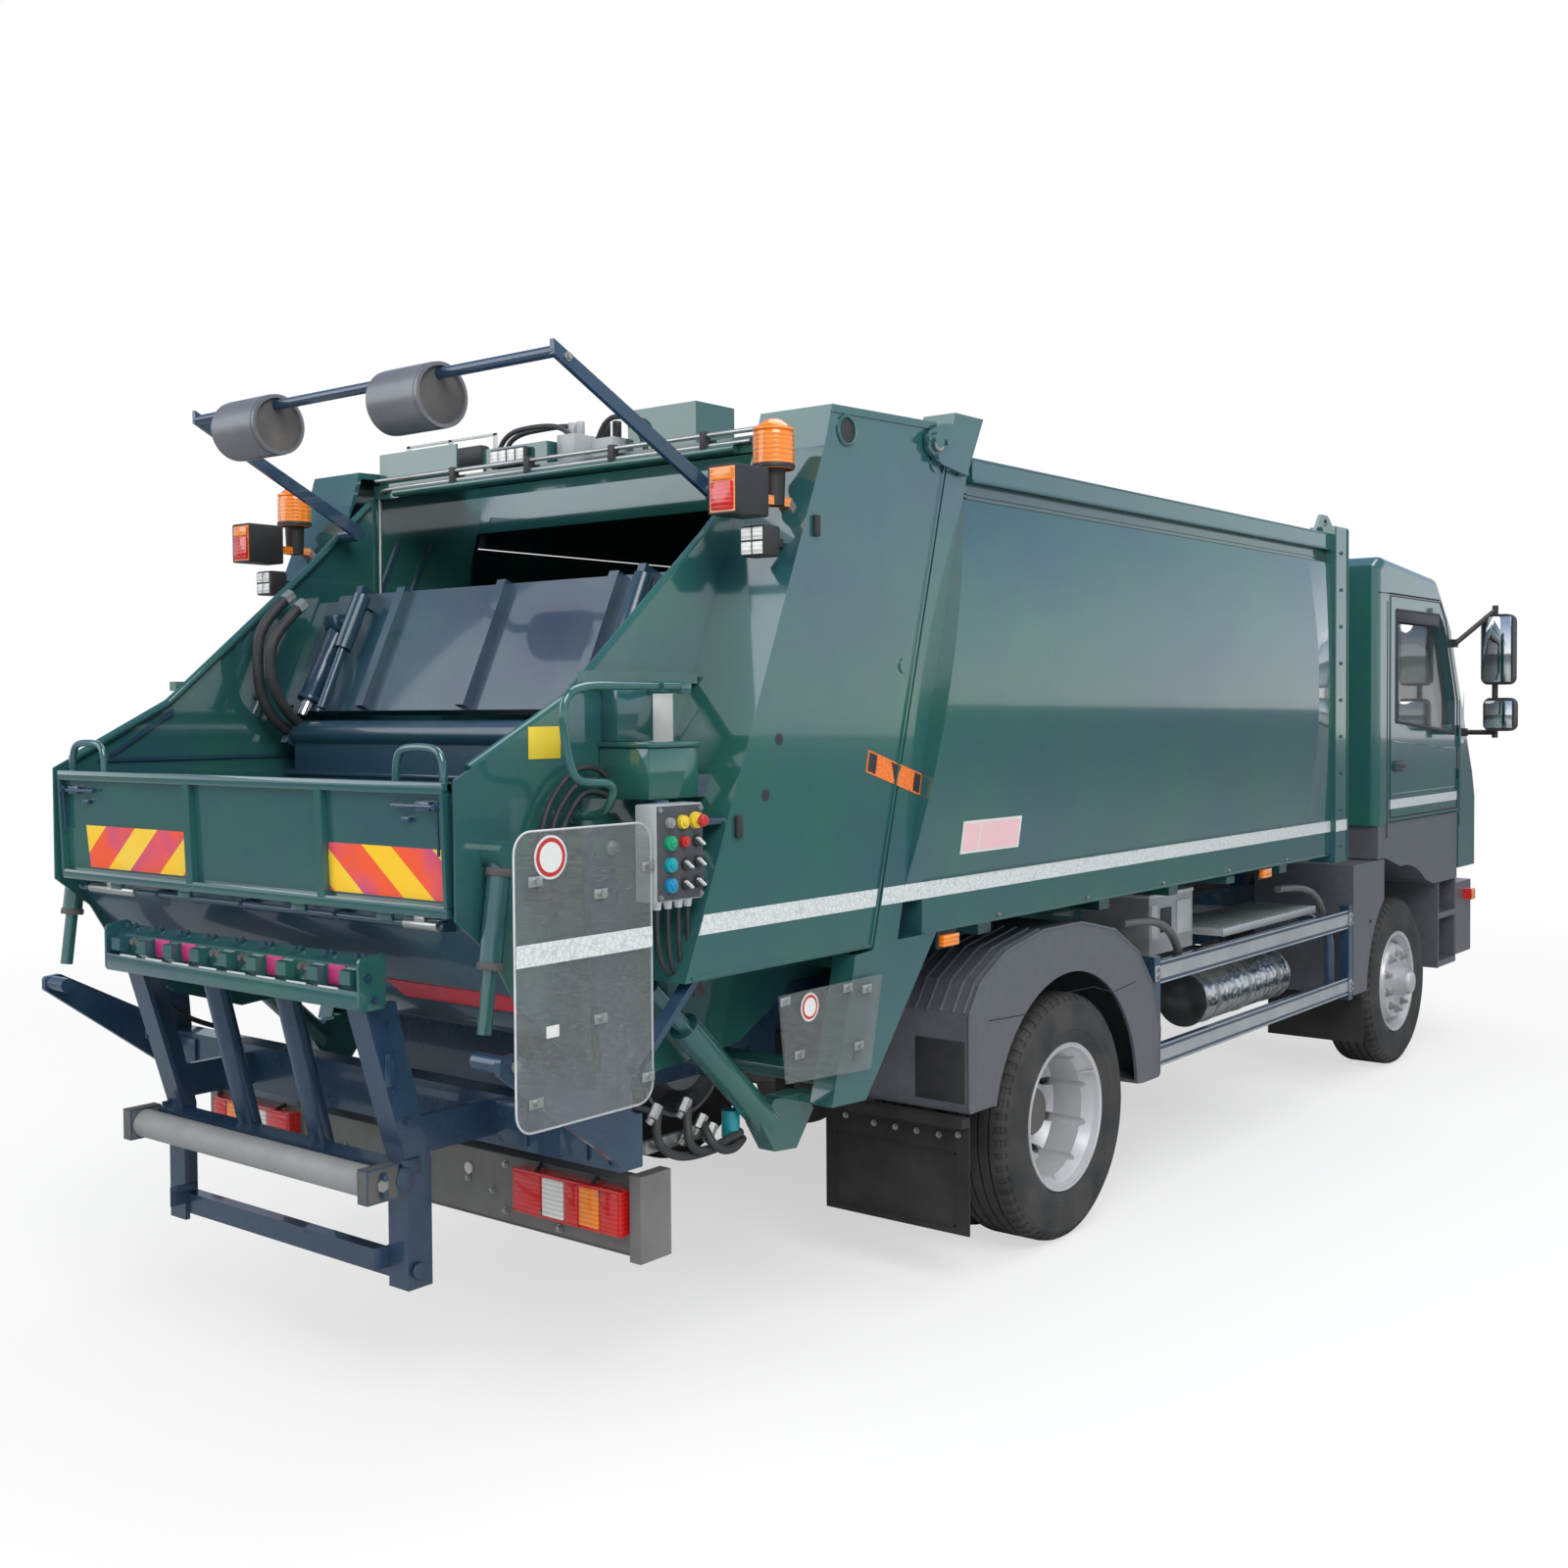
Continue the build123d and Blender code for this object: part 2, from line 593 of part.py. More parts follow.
deck_z = 905.0
with BuildPart() as service_deck:
    box(bay(0.352), bay(0.839), -1110, -790, deck_z, deck_z + 30)
    for x in (bay(0.423), bay(0.768)):
        box(x - 20, x + 20, -800, -rail_outer_y - gap, deck_z - 25, deck_z + 10)
    box(bay(0.135), bay(0.324), -1000, -700, 866, 1110)
    box(bay(0.21), bay(0.248), -701, -rail_outer_y - gap, 870, 910)
service_deck.part.label = "service_deck"
export_step(service_deck.part, "parts/service_deck.step")

with BuildPart() as left_tanks:
    with BuildSketch(Plane(origin=at(bay(0.116), 870, 720), x_dir=(0, 1, 0), z_dir=(1, 0, 0))) as tank:
        RectangleRounded(460, 500, 90)
    extrude(tank.sketch, amount=bay(0.565) - bay(0.116))
    for x in (bay(0.187), bay(0.494)):
        box(x - 30, x + 30, rail_outer_y + gap, 650, 700, 780)
    box(bay(0.641), bay(0.858), 640, 1090, 480, 900)
    box(bay(0.707), bay(0.782), rail_outer_y + gap, 641, 700, 780)
left_tanks.part.label = "left_tanks"
export_step(left_tanks.part, "parts/left_tanks.step")

# Mudguards: shells over the twin wheels, and the rear halves of the front arches
mudguard_sheet = 12.0
fender_arch_radius = 512.0
fender_inner_y = 610.0
fender_outer_y = 1190.0
fender_outline = [
    (560, 455),
    (690, 455),
    (700, 640),
    (640, 815),
    (520, 955),
    (330, 1060),
    (80, 1112),
    (-180, 1112),
    (-420, 1070),
    (-585, 985),
    (-655, 890),
    (-655, 570),
    (-520, 570),
]
with BuildPart() as mudguards:
    slab(fender_outline, fender_inner_y, fender_outer_y)
    with BuildSketch(side(fender_outer_y - mudguard_sheet)) as hollow:
        with BuildLine():
            Polyline(*fender_outline, close=True)
        make_face()
        offset(amount=-mudguard_sheet, kind=Kind.INTERSECTION)
    extrude(hollow.sketch, amount=fender_outer_y - fender_inner_y - 2 * mudguard_sheet, mode=Mode.SUBTRACT)
    disc(0, tyre_radius, fender_arch_radius, fender_inner_y - 10, fender_outer_y + 10, mode=Mode.SUBTRACT)
    slab(ahead([(-735, 460), (-735, 1095), (-300, 1095), (-300, 460)]), 640, 1145)
    disc(wheelbase, tyre_radius, arch_radius, 600, 1200, mode=Mode.SUBTRACT)
    for x, z in ((-420, 850), (420, 850), (wheelbase - 660, 800)):
        box(x - 20, x + 20, rail_outer_y + gap, 641, z - 20, z + 20)
    mirror(about=Plane.XZ)
mudguards.part.label = "mudguards"
export_step(mudguards.part, "parts/mudguards.step")

flap_x = -656.0
front_flap_x = wheelbase - 585.0
with BuildPart() as mud_flaps:
    box(flap_x - 6, flap_x, 615, 1190, 175, 530)
    box(flap_x - 50, flap_x, rail_outer_y + gap, 1190, 530, 560)
    box(flap_x - 50, flap_x, rail_outer_y + gap, rail_outer_y + 40, 530, 760)
    box(front_flap_x - 3, front_flap_x + 3, 650, 1140, 200, 430)
    box(front_flap_x - 25, front_flap_x + 7, rail_outer_y + gap, 1140, 430, 455)
    box(front_flap_x - 25, front_flap_x + 7, rail_outer_y + gap, rail_outer_y + 30, 430, 720)
    mirror(about=Plane.XZ)
mud_flaps.part.label = "mud_flaps"
export_step(mud_flaps.part, "parts/mud_flaps.step")


# Entry steps below each door, with the lower half of the front arch
step_rear_x = wheelbase + 552.0
step_front_x = wheelbase + 880.0
with BuildPart() as steps:
    for z in (434, 700):
        box(step_rear_x, step_front_x, 820, 1140, z, z + 32)
    box(step_rear_x, step_rear_x + 16, 640, 1145, 434, 900)
    box(step_rear_x, step_front_x, 804, 820, 434, 900)
    box(step_front_x - 16, step_front_x, 820, 1140, 434, 900)
    box(step_rear_x + 20, step_rear_x + 80, rail_outer_y + gap, 640 + 10, 700, 760)
    box(step_rear_x, step_rear_x + 80, 640, 660, 700, 760)
    mirror(about=Plane.XZ)
steps.part.label = "steps"
export_step(steps.part, "parts/steps.step")

bumper_top_z = 875.0
bumper_low_z = 470.0
with BuildPart() as bumper:
    outline = [(cab_front_x + 20, -700), (cab_front_x + 20, 700), (cab_front_x - 70, 1140)]
    outline += [(step_front_x + 5, 1140), (step_front_x + 5, 1080), (cab_front_x - 120, 1080)]
    outline += [(cab_front_x - 60, 660), (cab_front_x - 60, -660), (cab_front_x - 120, -1080)]
    outline += [(step_front_x + 5, -1080), (step_front_x + 5, -1140), (cab_front_x - 70, -1140)]
    with BuildSketch(Plane(origin=at(0, 0, bumper_low_z), x_dir=(1, 0, 0), z_dir=(0, 0, 1))) as plan:
        with BuildLine():
            Polyline(*outline, close=True)
        make_face()
    extrude(plan.sketch, amount=bumper_top_z - bumper_low_z)
    for sign in (1, -1):
        box(rail_front_x + gap, cab_front_x - 50, sign * 355, sign * 425, 700, 860)
        box(cab_front_x - 30, cab_front_x + 60, sign * 760, sign * 1060, 590, 760, mode=Mode.SUBTRACT)
bumper.part.label = "bumper"
export_step(bumper.part, "parts/bumper.step")

underrun_x = -1920.0
underrun_half_width = 958.0
underrun_low_z = 405.0
underrun_top_z = 602.0
with BuildPart() as underrun:
    bar_z = (underrun_low_z, underrun_top_z)
    box(underrun_x - 40, underrun_x + 40, -underrun_half_width, underrun_half_width, *bar_z)
    for sign in (1, -1):
        end_y = (sign * underrun_half_width, sign * (underrun_half_width + 40))
        box(underrun_x - 60, underrun_x + 60, *end_y, underrun_low_z - 9, underrun_top_z + 28)
        box(underrun_x + 30, rail_rear_x, sign * 360, sign * 420, 470, 600)
        box(rail_rear_x - 20, rail_rear_x + 180, sign * 360, sign * 420, 470, rail_low_z - gap)
underrun.part.label = "underrun"
export_step(underrun.part, "parts/underrun.step")

lamp_depth = 40.0
with BuildPart() as lamps:
    for sign in (1, -1):
        rear_lamp_y = (sign * 528, sign * 945)
        box(underrun_x - 40 - gap - lamp_depth, underrun_x - 40 - gap, *rear_lamp_y, 465, 586)
        box(cab_front_x - 30 + gap, cab_front_x + 18, sign * 765, sign * 1055, 595, 755)
        box(wheelbase + 1020, wheelbase + 1080, sign * (1140 + gap), sign * 1185, 770, 830)
lamps.part.label = "lamps"
export_step(lamps.part, "parts/lamps.step")

guard_thickness = 8.0
with BuildPart() as leg_guard:
    plate = [(-1660, 1092), (-1180, 1092), (-1240, 822), (-1630, 847)]
    slab(plate, -body_half_width - 14 - guard_thickness, -body_half_width - 14)
    for x, z in ((-1290, 1050), (-1310, 870)):
        disc(x, z, 14, -body_half_width - 14, -body_half_width - gap)
leg_guard.part.label = "leg_guard"
export_step(leg_guard.part, "parts/leg_guard.step")

# Cab: a hollow shell from its side profile, with door openings and a windscreen opening
cab_outline = [(cab_rear_x, cab_floor_z), (cab_rear_x, 2575)]
cab_outline += ahead([(-330, 2625), (510, 2560), (770, 2310), (1170, 1520)])
cab_outline += [(cab_front_x, 1360), (cab_front_x, cab_low_z)]
cab_outline += ahead([(890, cab_low_z), (890, cab_floor_z)])
door_outline = [(door_rear_x, door_low_z), (door_front_x, door_low_z), (door_front_x, 1900)]
door_outline += ahead([(670, 2330), (550, door_top_z)])
door_outline += [(door_rear_x, door_top_z)]
window_outline = ahead([(-130, 1800), (780, 1730), (780, 1900), (605, 2275), (520, 2350), (-130, 2350)])
screen_low = Vector(wheelbase + 1132, 0, 1595)
screen_high = Vector(wheelbase + 804, 0, 2243)
screen_half_width = 1010.0
screen_run = screen_high - screen_low
screen_normal = Vector(screen_run.Z, 0, -screen_run.X).normalized()
screen_middle = (screen_low + screen_high) * 0.5


def screen_panel(grow, inner, outer, mode=Mode.ADD):
    """The windscreen's outline, grown all round, between two depths from the skin."""
    origin = screen_middle + screen_normal * inner
    with BuildSketch(Plane(origin=at(*origin), x_dir=(0, 1, 0), z_dir=screen_normal)) as pane:
        RectangleRounded(2 * screen_half_width + 2 * grow, screen_run.length + 2 * grow, 70)
    extrude(pane.sketch, amount=outer - inner, mode=mode)


door_hinge_x = door_front_x + 3
door_hinge_y = 1159.0
door_hinge_radius = 8.0
door_hinge_z = (1400, 1640)
with BuildPart() as cab_shell:
    with BuildSketch(side(cab_half_width)) as profile:
        with BuildLine():
            Polyline(*cab_outline, close=True)
        make_face()
        fillet(profile.vertices().filter_by(lambda v: v.Y > 1300 and v.X > cab_rear_x + 50), 90)
    extrude(profile.sketch, amount=2 * cab_half_width)
    for y in (cab_half_width, -cab_half_width):
        edges = cab_shell.edges().filter_by(lambda e: abs(e.center().Y - y) < 1 and e.center().Z > 1500)
        fillet(edges, 45)
    with BuildSketch(side(cab_half_width - cab_wall)) as inside:
        with BuildLine():
            Polyline(*cab_outline, close=True)
        make_face()
        offset(amount=-cab_wall, kind=Kind.INTERSECTION)
    extrude(inside.sketch, amount=2 * (cab_half_width - cab_wall), mode=Mode.SUBTRACT)
    screen_panel(0, -100, 60, mode=Mode.SUBTRACT)
    for y in (cab_half_width + 20, cab_wall + 1 - cab_half_width):
        with BuildSketch(side(y)) as doorway:
            with BuildLine():
                Polyline(*door_outline, close=True)
            make_face()
            offset(amount=clear, kind=Kind.INTERSECTION)
        extrude(doorway.sketch, amount=cab_wall + 21, mode=Mode.SUBTRACT)
    for sign in (1, -1):
        lug_y0, lug_y1 = sorted((sign * (rail_outer_y + running), sign * (rail_outer_y + 28)))
        tilt_lug = [(cab_tilt_x - 35, cab_low_z + 1), (cab_tilt_x - 22, cab_tilt_z - 15)]
        tilt_lug += [(cab_tilt_x, cab_tilt_z - 22)]
        tilt_lug += [(cab_tilt_x + 22, cab_tilt_z - 15), (cab_tilt_x + 35, cab_low_z + 1)]
        slab(tilt_lug, lug_y0, lug_y1)
        disc(cab_tilt_x, cab_tilt_z, cab_pin_radius + running, lug_y0 - 1, lug_y1 + 1, mode=Mode.SUBTRACT)
        for z in door_hinge_z:
            leaf_y = (sign * (cab_half_width - 1), sign * (cab_half_width + 4))
            box(door_hinge_x, door_hinge_x + 37, *leaf_y, z + 60 + gap, z + 120)
            with Locations(at(door_hinge_x, sign * door_hinge_y, z + 90 + gap / 2)):
                Cylinder(door_hinge_radius, 60 - gap)
cab_shell.part.label = "cab_shell"
export_step(cab_shell.part, "parts/cab_shell.step")

with BuildPart() as windscreen:
    screen_panel(-gap, -34, -28)
windscreen.part.label = "windscreen"
export_step(windscreen.part, "parts/windscreen.step")

door_thickness = 58.0
for name, sign in sides:
    y0 = cab_half_width - door_thickness if sign > 0 else -cab_half_width
    with BuildPart() as door:
        slab(door_outline, y0, y0 + door_thickness)
        slab(window_outline, y0 - 10, y0 + door_thickness + 10, mode=Mode.SUBTRACT, round_corners=40)
        handle_y = sign * (cab_half_width + 18)
        box(door_rear_x + 60, door_rear_x + 200, sign * cab_half_width, handle_y, 1545, 1580)
        for z in door_hinge_z:
            leaf_y = (sign * (cab_half_width - 1), sign * (cab_half_width + 4))
            box(door_hinge_x - 33, door_hinge_x, *leaf_y, z, z + 60)
            with Locations(at(door_hinge_x, sign * door_hinge_y, z + 30)):
                Cylinder(door_hinge_radius, 60)
    door.part.label = f"door_{name}"
    export_step(door.part, f"parts/door_{name}.step")

    with BuildPart() as door_glass:
        with BuildSketch(side(sign * (cab_half_width - 30) + 3)) as pane:
            with BuildLine():
                Polyline(*window_outline, close=True)
            make_face()
            fillet(pane.vertices(), 40)
            offset(amount=-gap)
        extrude(pane.sketch, amount=6)
    door_glass.part.label = f"door_glass_{name}"
    export_step(door_glass.part, f"parts/door_glass_{name}.step")

with BuildPart() as cab_arches:
    arch_top_z = cab_floor_z - gap
    cab_arch = [(-395, 1100), (-395, arch_top_z), (880, arch_top_z), (880, 905), (480, 905), (-290, 1100)]
    slab(ahead(cab_arch), 700, 1145)
    disc(wheelbase, tyre_radius, arch_radius + 60, 600, 1200, mode=Mode.SUBTRACT)
    mirror(about=Plane.XZ)
cab_arches.part.label = "cab_arches"
export_step(cab_arches.part, "parts/cab_arches.step")

cab_inner_y = cab_half_width - cab_wall - gap
cab_inner_z = cab_floor_z + cab_wall + gap
with BuildPart() as dashboard:
    board_y = cab_inner_y - 8
    board = ahead([(800, 1560), (710, 1660), (820, 1760), (980, 1700), (1030, 1560)])
    slab(board, -board_y, board_y)
    slab(ahead([(810, cab_inner_z), (810, 1565), (940, 1565), (940, cab_inner_z)]), -200, 200)
    wheel_middle = (wheelbase + 630, 520, 1830)
    bar((wheelbase + 810, 520, 1670), wheel_middle, 22)
    with BuildSketch(Plane(origin=at(*wheel_middle), z_dir=(-180, 0, 160))) as wheel_ring:
        Circle(215)
        Circle(190, mode=Mode.SUBTRACT)
        Rectangle(30, 400)
    extrude(wheel_ring.sketch, amount=25)
dashboard.part.label = "dashboard"
export_step(dashboard.part, "parts/dashboard.step")

with BuildPart() as seats:
    for y0, y1 in ((280, 780), (-780, 130)):
        cushion = [(-140, cab_inner_z), (-140, 1600), (-60, 1700)]
        cushion += [(340, 1720), (380, 1600), (240, cab_inner_z)]
        slab(ahead(cushion), y0, y1)
        slab(ahead([(-280, 1600), (-330, 2330), (-220, 2330), (-60, 1700), (-140, 1600)]), y0, y1)
seats.part.label = "seats"
export_step(seats.part, "parts/seats.step")

mirror_x = wheelbase + 940.0
mirror_tube_y = 1330.0
mirror_tube_radius = 14.0
with BuildPart() as mirrors:
    for x, z, outer_z in ((wheelbase + 765, 2215, 2399), (wheelbase + 950, 1720, 1720)):
        box(x - 22, x + 22, cab_half_width + gap, cab_half_width + 26, z - 22, z + 22)
        bar((x, cab_half_width + 18, z), (mirror_x, mirror_tube_y, outer_z), mirror_tube_radius)
    bar((mirror_x, mirror_tube_y, 1690), (mirror_x, mirror_tube_y, 2425), mirror_tube_radius + 2)
    with BuildSketch(Plane(origin=at(mirror_x - 40, 1350, 2180), x_dir=(0, 1, 0), z_dir=(1, 0, 0))) as big:
        RectangleRounded(170, 390, 40)
    extrude(big.sketch, amount=80)
    with BuildSketch(Plane(origin=at(mirror_x - 40, 1360, 1820), x_dir=(0, 1, 0), z_dir=(1, 0, 0))) as small:
        RectangleRounded(165, 185, 40)
    extrude(small.sketch, amount=80)
    mirror(about=Plane.XZ)
mirrors.part.label = "mirrors"
export_step(mirrors.part, "parts/mirrors.step")

with BuildPart() as grille:
    for z in (1010, 1090, 1170, 1250):
        box(cab_front_x + gap, cab_front_x + 22, -700, 700, z, z + 46)
    for y in (-690, 0, 690):
        box(cab_front_x + gap, cab_front_x + 12, y - 10, y + 10, 1010, 1296)
grille.part.label = "grille"
export_step(grille.part, "parts/grille.step")


# Tailgate: side plates that carry the hopper, with the slanted mouth's edge
tailgate_low = (seam_x(1190), 1190)
side_outline = [
    (flap_top_x - 15, 1364),
    (flap_top_x - 15, 1706),
    (-2159, 1905),
    (-1619, 2367),
    (-1262, 2700),
    (-900, 2700),
    (-812, 2640),
    tailgate_low,
    (-1290, 1020),
    (-1500, 910),
    (-1900, 880),
    (-2150, 960),
    (-2350, 1130),
    (-2433, 1271),
]
side_outer_y = side_plate_y + side_plate_sheet
ram_line_y = side_outer_y + clear + 29
mouth_edge = [(-2490, 1731), (-2159, 1905), (-1619, 2367), (-1350, 2618)]
edge_radius = 14.0
with BuildPart() as hopper_sides:
    slab(side_outline, side_plate_y, side_outer_y)
    for (x0, z0), (x1, z1) in zip(mouth_edge, mouth_edge[1:]):
        bar((x0, side_outer_y - edge_radius, z0), (x1, side_outer_y - edge_radius, z1), edge_radius)
    box(-2127, -1700, side_plate_y, side_outer_y + 28, 1945, 1975)
    disc(lift_pivot_x, lift_pivot_z, lift_pivot_radius, side_plate_y, lift_arm_y + lift_arm_thickness + clear)
    disc(-2435, 1521, 34, side_plate_y, ram_line_y + 30)
    bar((-2437, ram_line_y, 1500), (-2471, ram_line_y, 1250), 29)
    bar((-2471, ram_line_y, 1250), (-2492, ram_line_y, 1090), 18)
    mirror(about=Plane.XZ)
hopper_sides.part.label = "hopper_sides"
export_step(hopper_sides.part, "parts/hopper_sides.step")

# The tub is swept by the blade's tip, so it is an arc about the blade's hinge
tub_inner_y = side_plate_y - gap
sill_z = tub_z - (tub_radius**2 - (sill_x - tub_x) ** 2) ** 0.5
front_x = -1280.0
front_z = tub_z - (tub_radius**2 - (front_x - tub_x) ** 2) ** 0.5
outer_radius = tub_radius + tub_sheet
sill_outer = (sill_x - tub_sheet, sill_z)
front_outer = (front_x + 4, tub_z - (outer_radius**2 - (front_x + 4 - tub_x) ** 2) ** 0.5)
with BuildPart() as hopper_tub:
    with BuildSketch(side(tub_inner_y)) as section:
        with BuildLine():
            ThreePointArc((sill_x, sill_z), (tub_x, tub_z - tub_radius), (front_x, front_z))
            Line((front_x, front_z), (seam_x(1200) - tub_sheet - 2, 1200))
            Line((seam_x(1200) - tub_sheet - 2, 1200), (seam_x(1200) - 2, 1200 - tub_sheet))
            Line((seam_x(1200) - 2, 1200 - tub_sheet), front_outer)
            ThreePointArc(front_outer, (tub_x, tub_z - outer_radius), sill_outer)
            Line(sill_outer, (sill_x, sill_z))
        make_face()
    extrude(section.sketch, amount=2 * tub_inner_y)
    bar((flap_hinge_x, -850, flap_hinge_z), (flap_hinge_x, 850, flap_hinge_z), hinge_rod_radius)
    for y in (-830, -420, 0, 420, 830):
        hinge_lug = [(sill_x - 7, sill_z - 2), (sill_x + 8, sill_z - 34), (flap_hinge_x, flap_hinge_z - 12)]
        hinge_lug += [(flap_hinge_x - 12, flap_hinge_z), (flap_hinge_x, flap_hinge_z + 14)]
        slab(hinge_lug, y - 8, y + 8)
hopper_tub.part.label = "hopper_tub"
export_step(hopper_tub.part, "parts/hopper_tub.step")

with BuildPart() as tailgate_hood:
    box(-1300, -900, -tub_inner_y, tub_inner_y, 2680, 2690)
    box(-1320, -1290, -tub_inner_y, tub_inner_y, 2640, 2690)
    bar((-1332, -800, 2655), (-1332, 800, 2655), 14)
    box(-1150, -960, -480, -180, 2690, 2860)
    box(-1250, -1100, 100, 420, 2690, 2780)
    slab([(-1318, 2689), (-1318, 2800), (-1312, 2800), (-1312, 2689)], 480, 900)
tailgate_hood.part.label = "tailgate_hood"
export_step(tailgate_hood.part, "parts/tailgate_hood.step")

# Pillars beside the hopper: a cover panel, a rear face and a cap on each side
cover_outline = [
    (pillar_low_x, cover_low_z),
    (seam_x(cover_low_z), cover_low_z),
    (seam_x(2680), 2680),
    (-850, 2751),
    (-1381, 2735),
    (pillar_top_x, pillar_top_z),
]
face_sheet = 12.0
with BuildPart() as pillars:
    slab(cover_outline, body_half_width - cover_sheet, body_half_width)
    face = [(pillar_low_x, cover_low_z), (pillar_top_x, pillar_top_z)]
    face += [(pillar_top_x + face_sheet, pillar_top_z), (pillar_low_x + face_sheet, cover_low_z)]
    slab(face, side_outer_y + gap, body_half_width)
    cap = [(-1381, 2735), (-960, 2746), (-960, 2725), (-1370, 2714)]
    cap += [(-1400, pillar_top_z), (pillar_top_x, pillar_top_z)]
    slab(cap, side_outer_y + gap, body_half_width)
    disc(tailgate_hinge_x, tailgate_hinge_z, tailgate_pin_radius, body_half_width - 30, body_half_width + 34)
    mirror(about=Plane.XZ)
pillars.part.label = "pillars"
export_step(pillars.part, "parts/pillars.step")

beacon_x = -1535.0
beacon_y = 1110.0
beacon_z = 2540.0
with BuildPart() as beacons:
    for sign in (1, -1):
        y = sign * beacon_y
        box(beacon_x - 220, beacon_x - 85, y - 45, y + 45, beacon_z - 140, beacon_z - 10)
        arm = [(beacon_x - 100, beacon_z - 100), (beacon_x - 100, beacon_z - 75)]
        arm += [(pillar_x(beacon_z - drop) - gap, beacon_z - drop) for drop in (75, 100)]
        slab(arm, y - 20, y + 20)
        box(beacon_x - 15, beacon_x + 15, y - 15, y + 15, beacon_z - 100, beacon_z)
        with Locations(at(beacon_x, y, beacon_z + 45)):
            Cylinder(58, 90)
        with Locations(at(beacon_x, y, beacon_z + 85)):
            Sphere(58)
beacons.part.label = "beacons"
export_step(beacons.part, "parts/beacons.step")

shield_y = -1190.0
shield_rear_x = -2595.0
shield_front_x = -2135.0
shield_low_z = 892.0
shield_top_z = 1594.0
with BuildPart() as clear_guard:
    plate = [(shield_rear_x, shield_low_z), (shield_rear_x, shield_top_z)]
    plate += [(shield_front_x, shield_top_z), (shield_front_x, shield_low_z)]
    slab(plate, shield_y - guard_thickness, shield_y, round_corners=60)
clear_guard.part.label = "clear_guard"
export_step(clear_guard.part, "parts/clear_guard.step")

box_low_z = 1360.0
box_high_z = 1640.0
with BuildPart() as control_box:
    box(-2085, -1945, -1320, -1130, box_low_z, box_high_z)
    box(-2030, -1850, -1120, -1000, 1640, 1790)
    for z in (box_low_z + 60, box_high_z - 60):
        bracket = [(-2160, z - 12), (-2160, z + 12)]
        bracket += [(pillar_x(z + 12) - gap, z + 12), (pillar_x(z - 12) - gap, z - 12)]
        slab(bracket, shield_y + gap, -1085)
    stay = [(-1900, 1640), (-1900, 1700), (pillar_x(1700) - gap, 1700), (pillar_x(1640) - gap, 1640)]
    slab(stay, -1100, -1020)
    low_bracket = [(-2180, 960), (-2180, 985), (pillar_x(1215) - gap, 1215), (pillar_x(1190) - gap, 1190)]
    slab(low_bracket, shield_y + gap, -1150)
control_box.part.label = "control_box"
export_step(control_box.part, "parts/control_box.step")

# Flap that closes the hopper's mouth, hinged at the sill
with BuildPart() as flap:
    panel = [(flap_hinge_x - 16, flap_hinge_z + 25), (flap_top_x - 6, flap_top_z)]
    panel += [(flap_top_x + 6, flap_top_z), (flap_hinge_x - 4, flap_hinge_z + 25)]
    slab(panel, -flap_half_width, flap_half_width)
    box(flap_top_x - 22, flap_top_x + 12, -flap_half_width, flap_half_width, flap_top_z - 30, flap_top_z)
    low_edge_z = flap_hinge_z + 25
    box(flap_hinge_x - 36, flap_hinge_x - 6, -flap_half_width, flap_half_width, low_edge_z, low_edge_z + 30)
    for y in (-300, 300):
        rib = [(flap_hinge_x - 36, flap_hinge_z + 30), (flap_top_x - 22, flap_top_z - 10)]
        rib += [(flap_top_x, flap_top_z - 10), (flap_hinge_x - 10, flap_hinge_z + 30)]
        slab(rib, y - 5, y + 5)
    for sign in (1, -1):
        bar((flap_hinge_x, sign * 560, flap_hinge_z), (flap_hinge_x, sign * 760, flap_hinge_z), 14)
        y0, y1 = sorted((sign * 620, sign * 700))
        box(flap_hinge_x - 18, flap_hinge_x, y0, y1, flap_hinge_z, flap_hinge_z + 40)
        rod_y = sorted((sign * 500, sign * 800))
        disc(flap_hinge_x, flap_hinge_z, hinge_rod_radius + running, *rod_y, mode=Mode.SUBTRACT)
        grip = [(flap_top_x, sign * 680, flap_top_z - 5), (flap_top_x, sign * 680, flap_top_z + 95)]
        grip += [(flap_top_x, sign * 860, flap_top_z + 95), (flap_top_x, sign * 860, flap_top_z - 5)]
        tube(grip, 11, 60)
flap.part.label = "flap"
export_step(flap.part, "parts/flap.step")

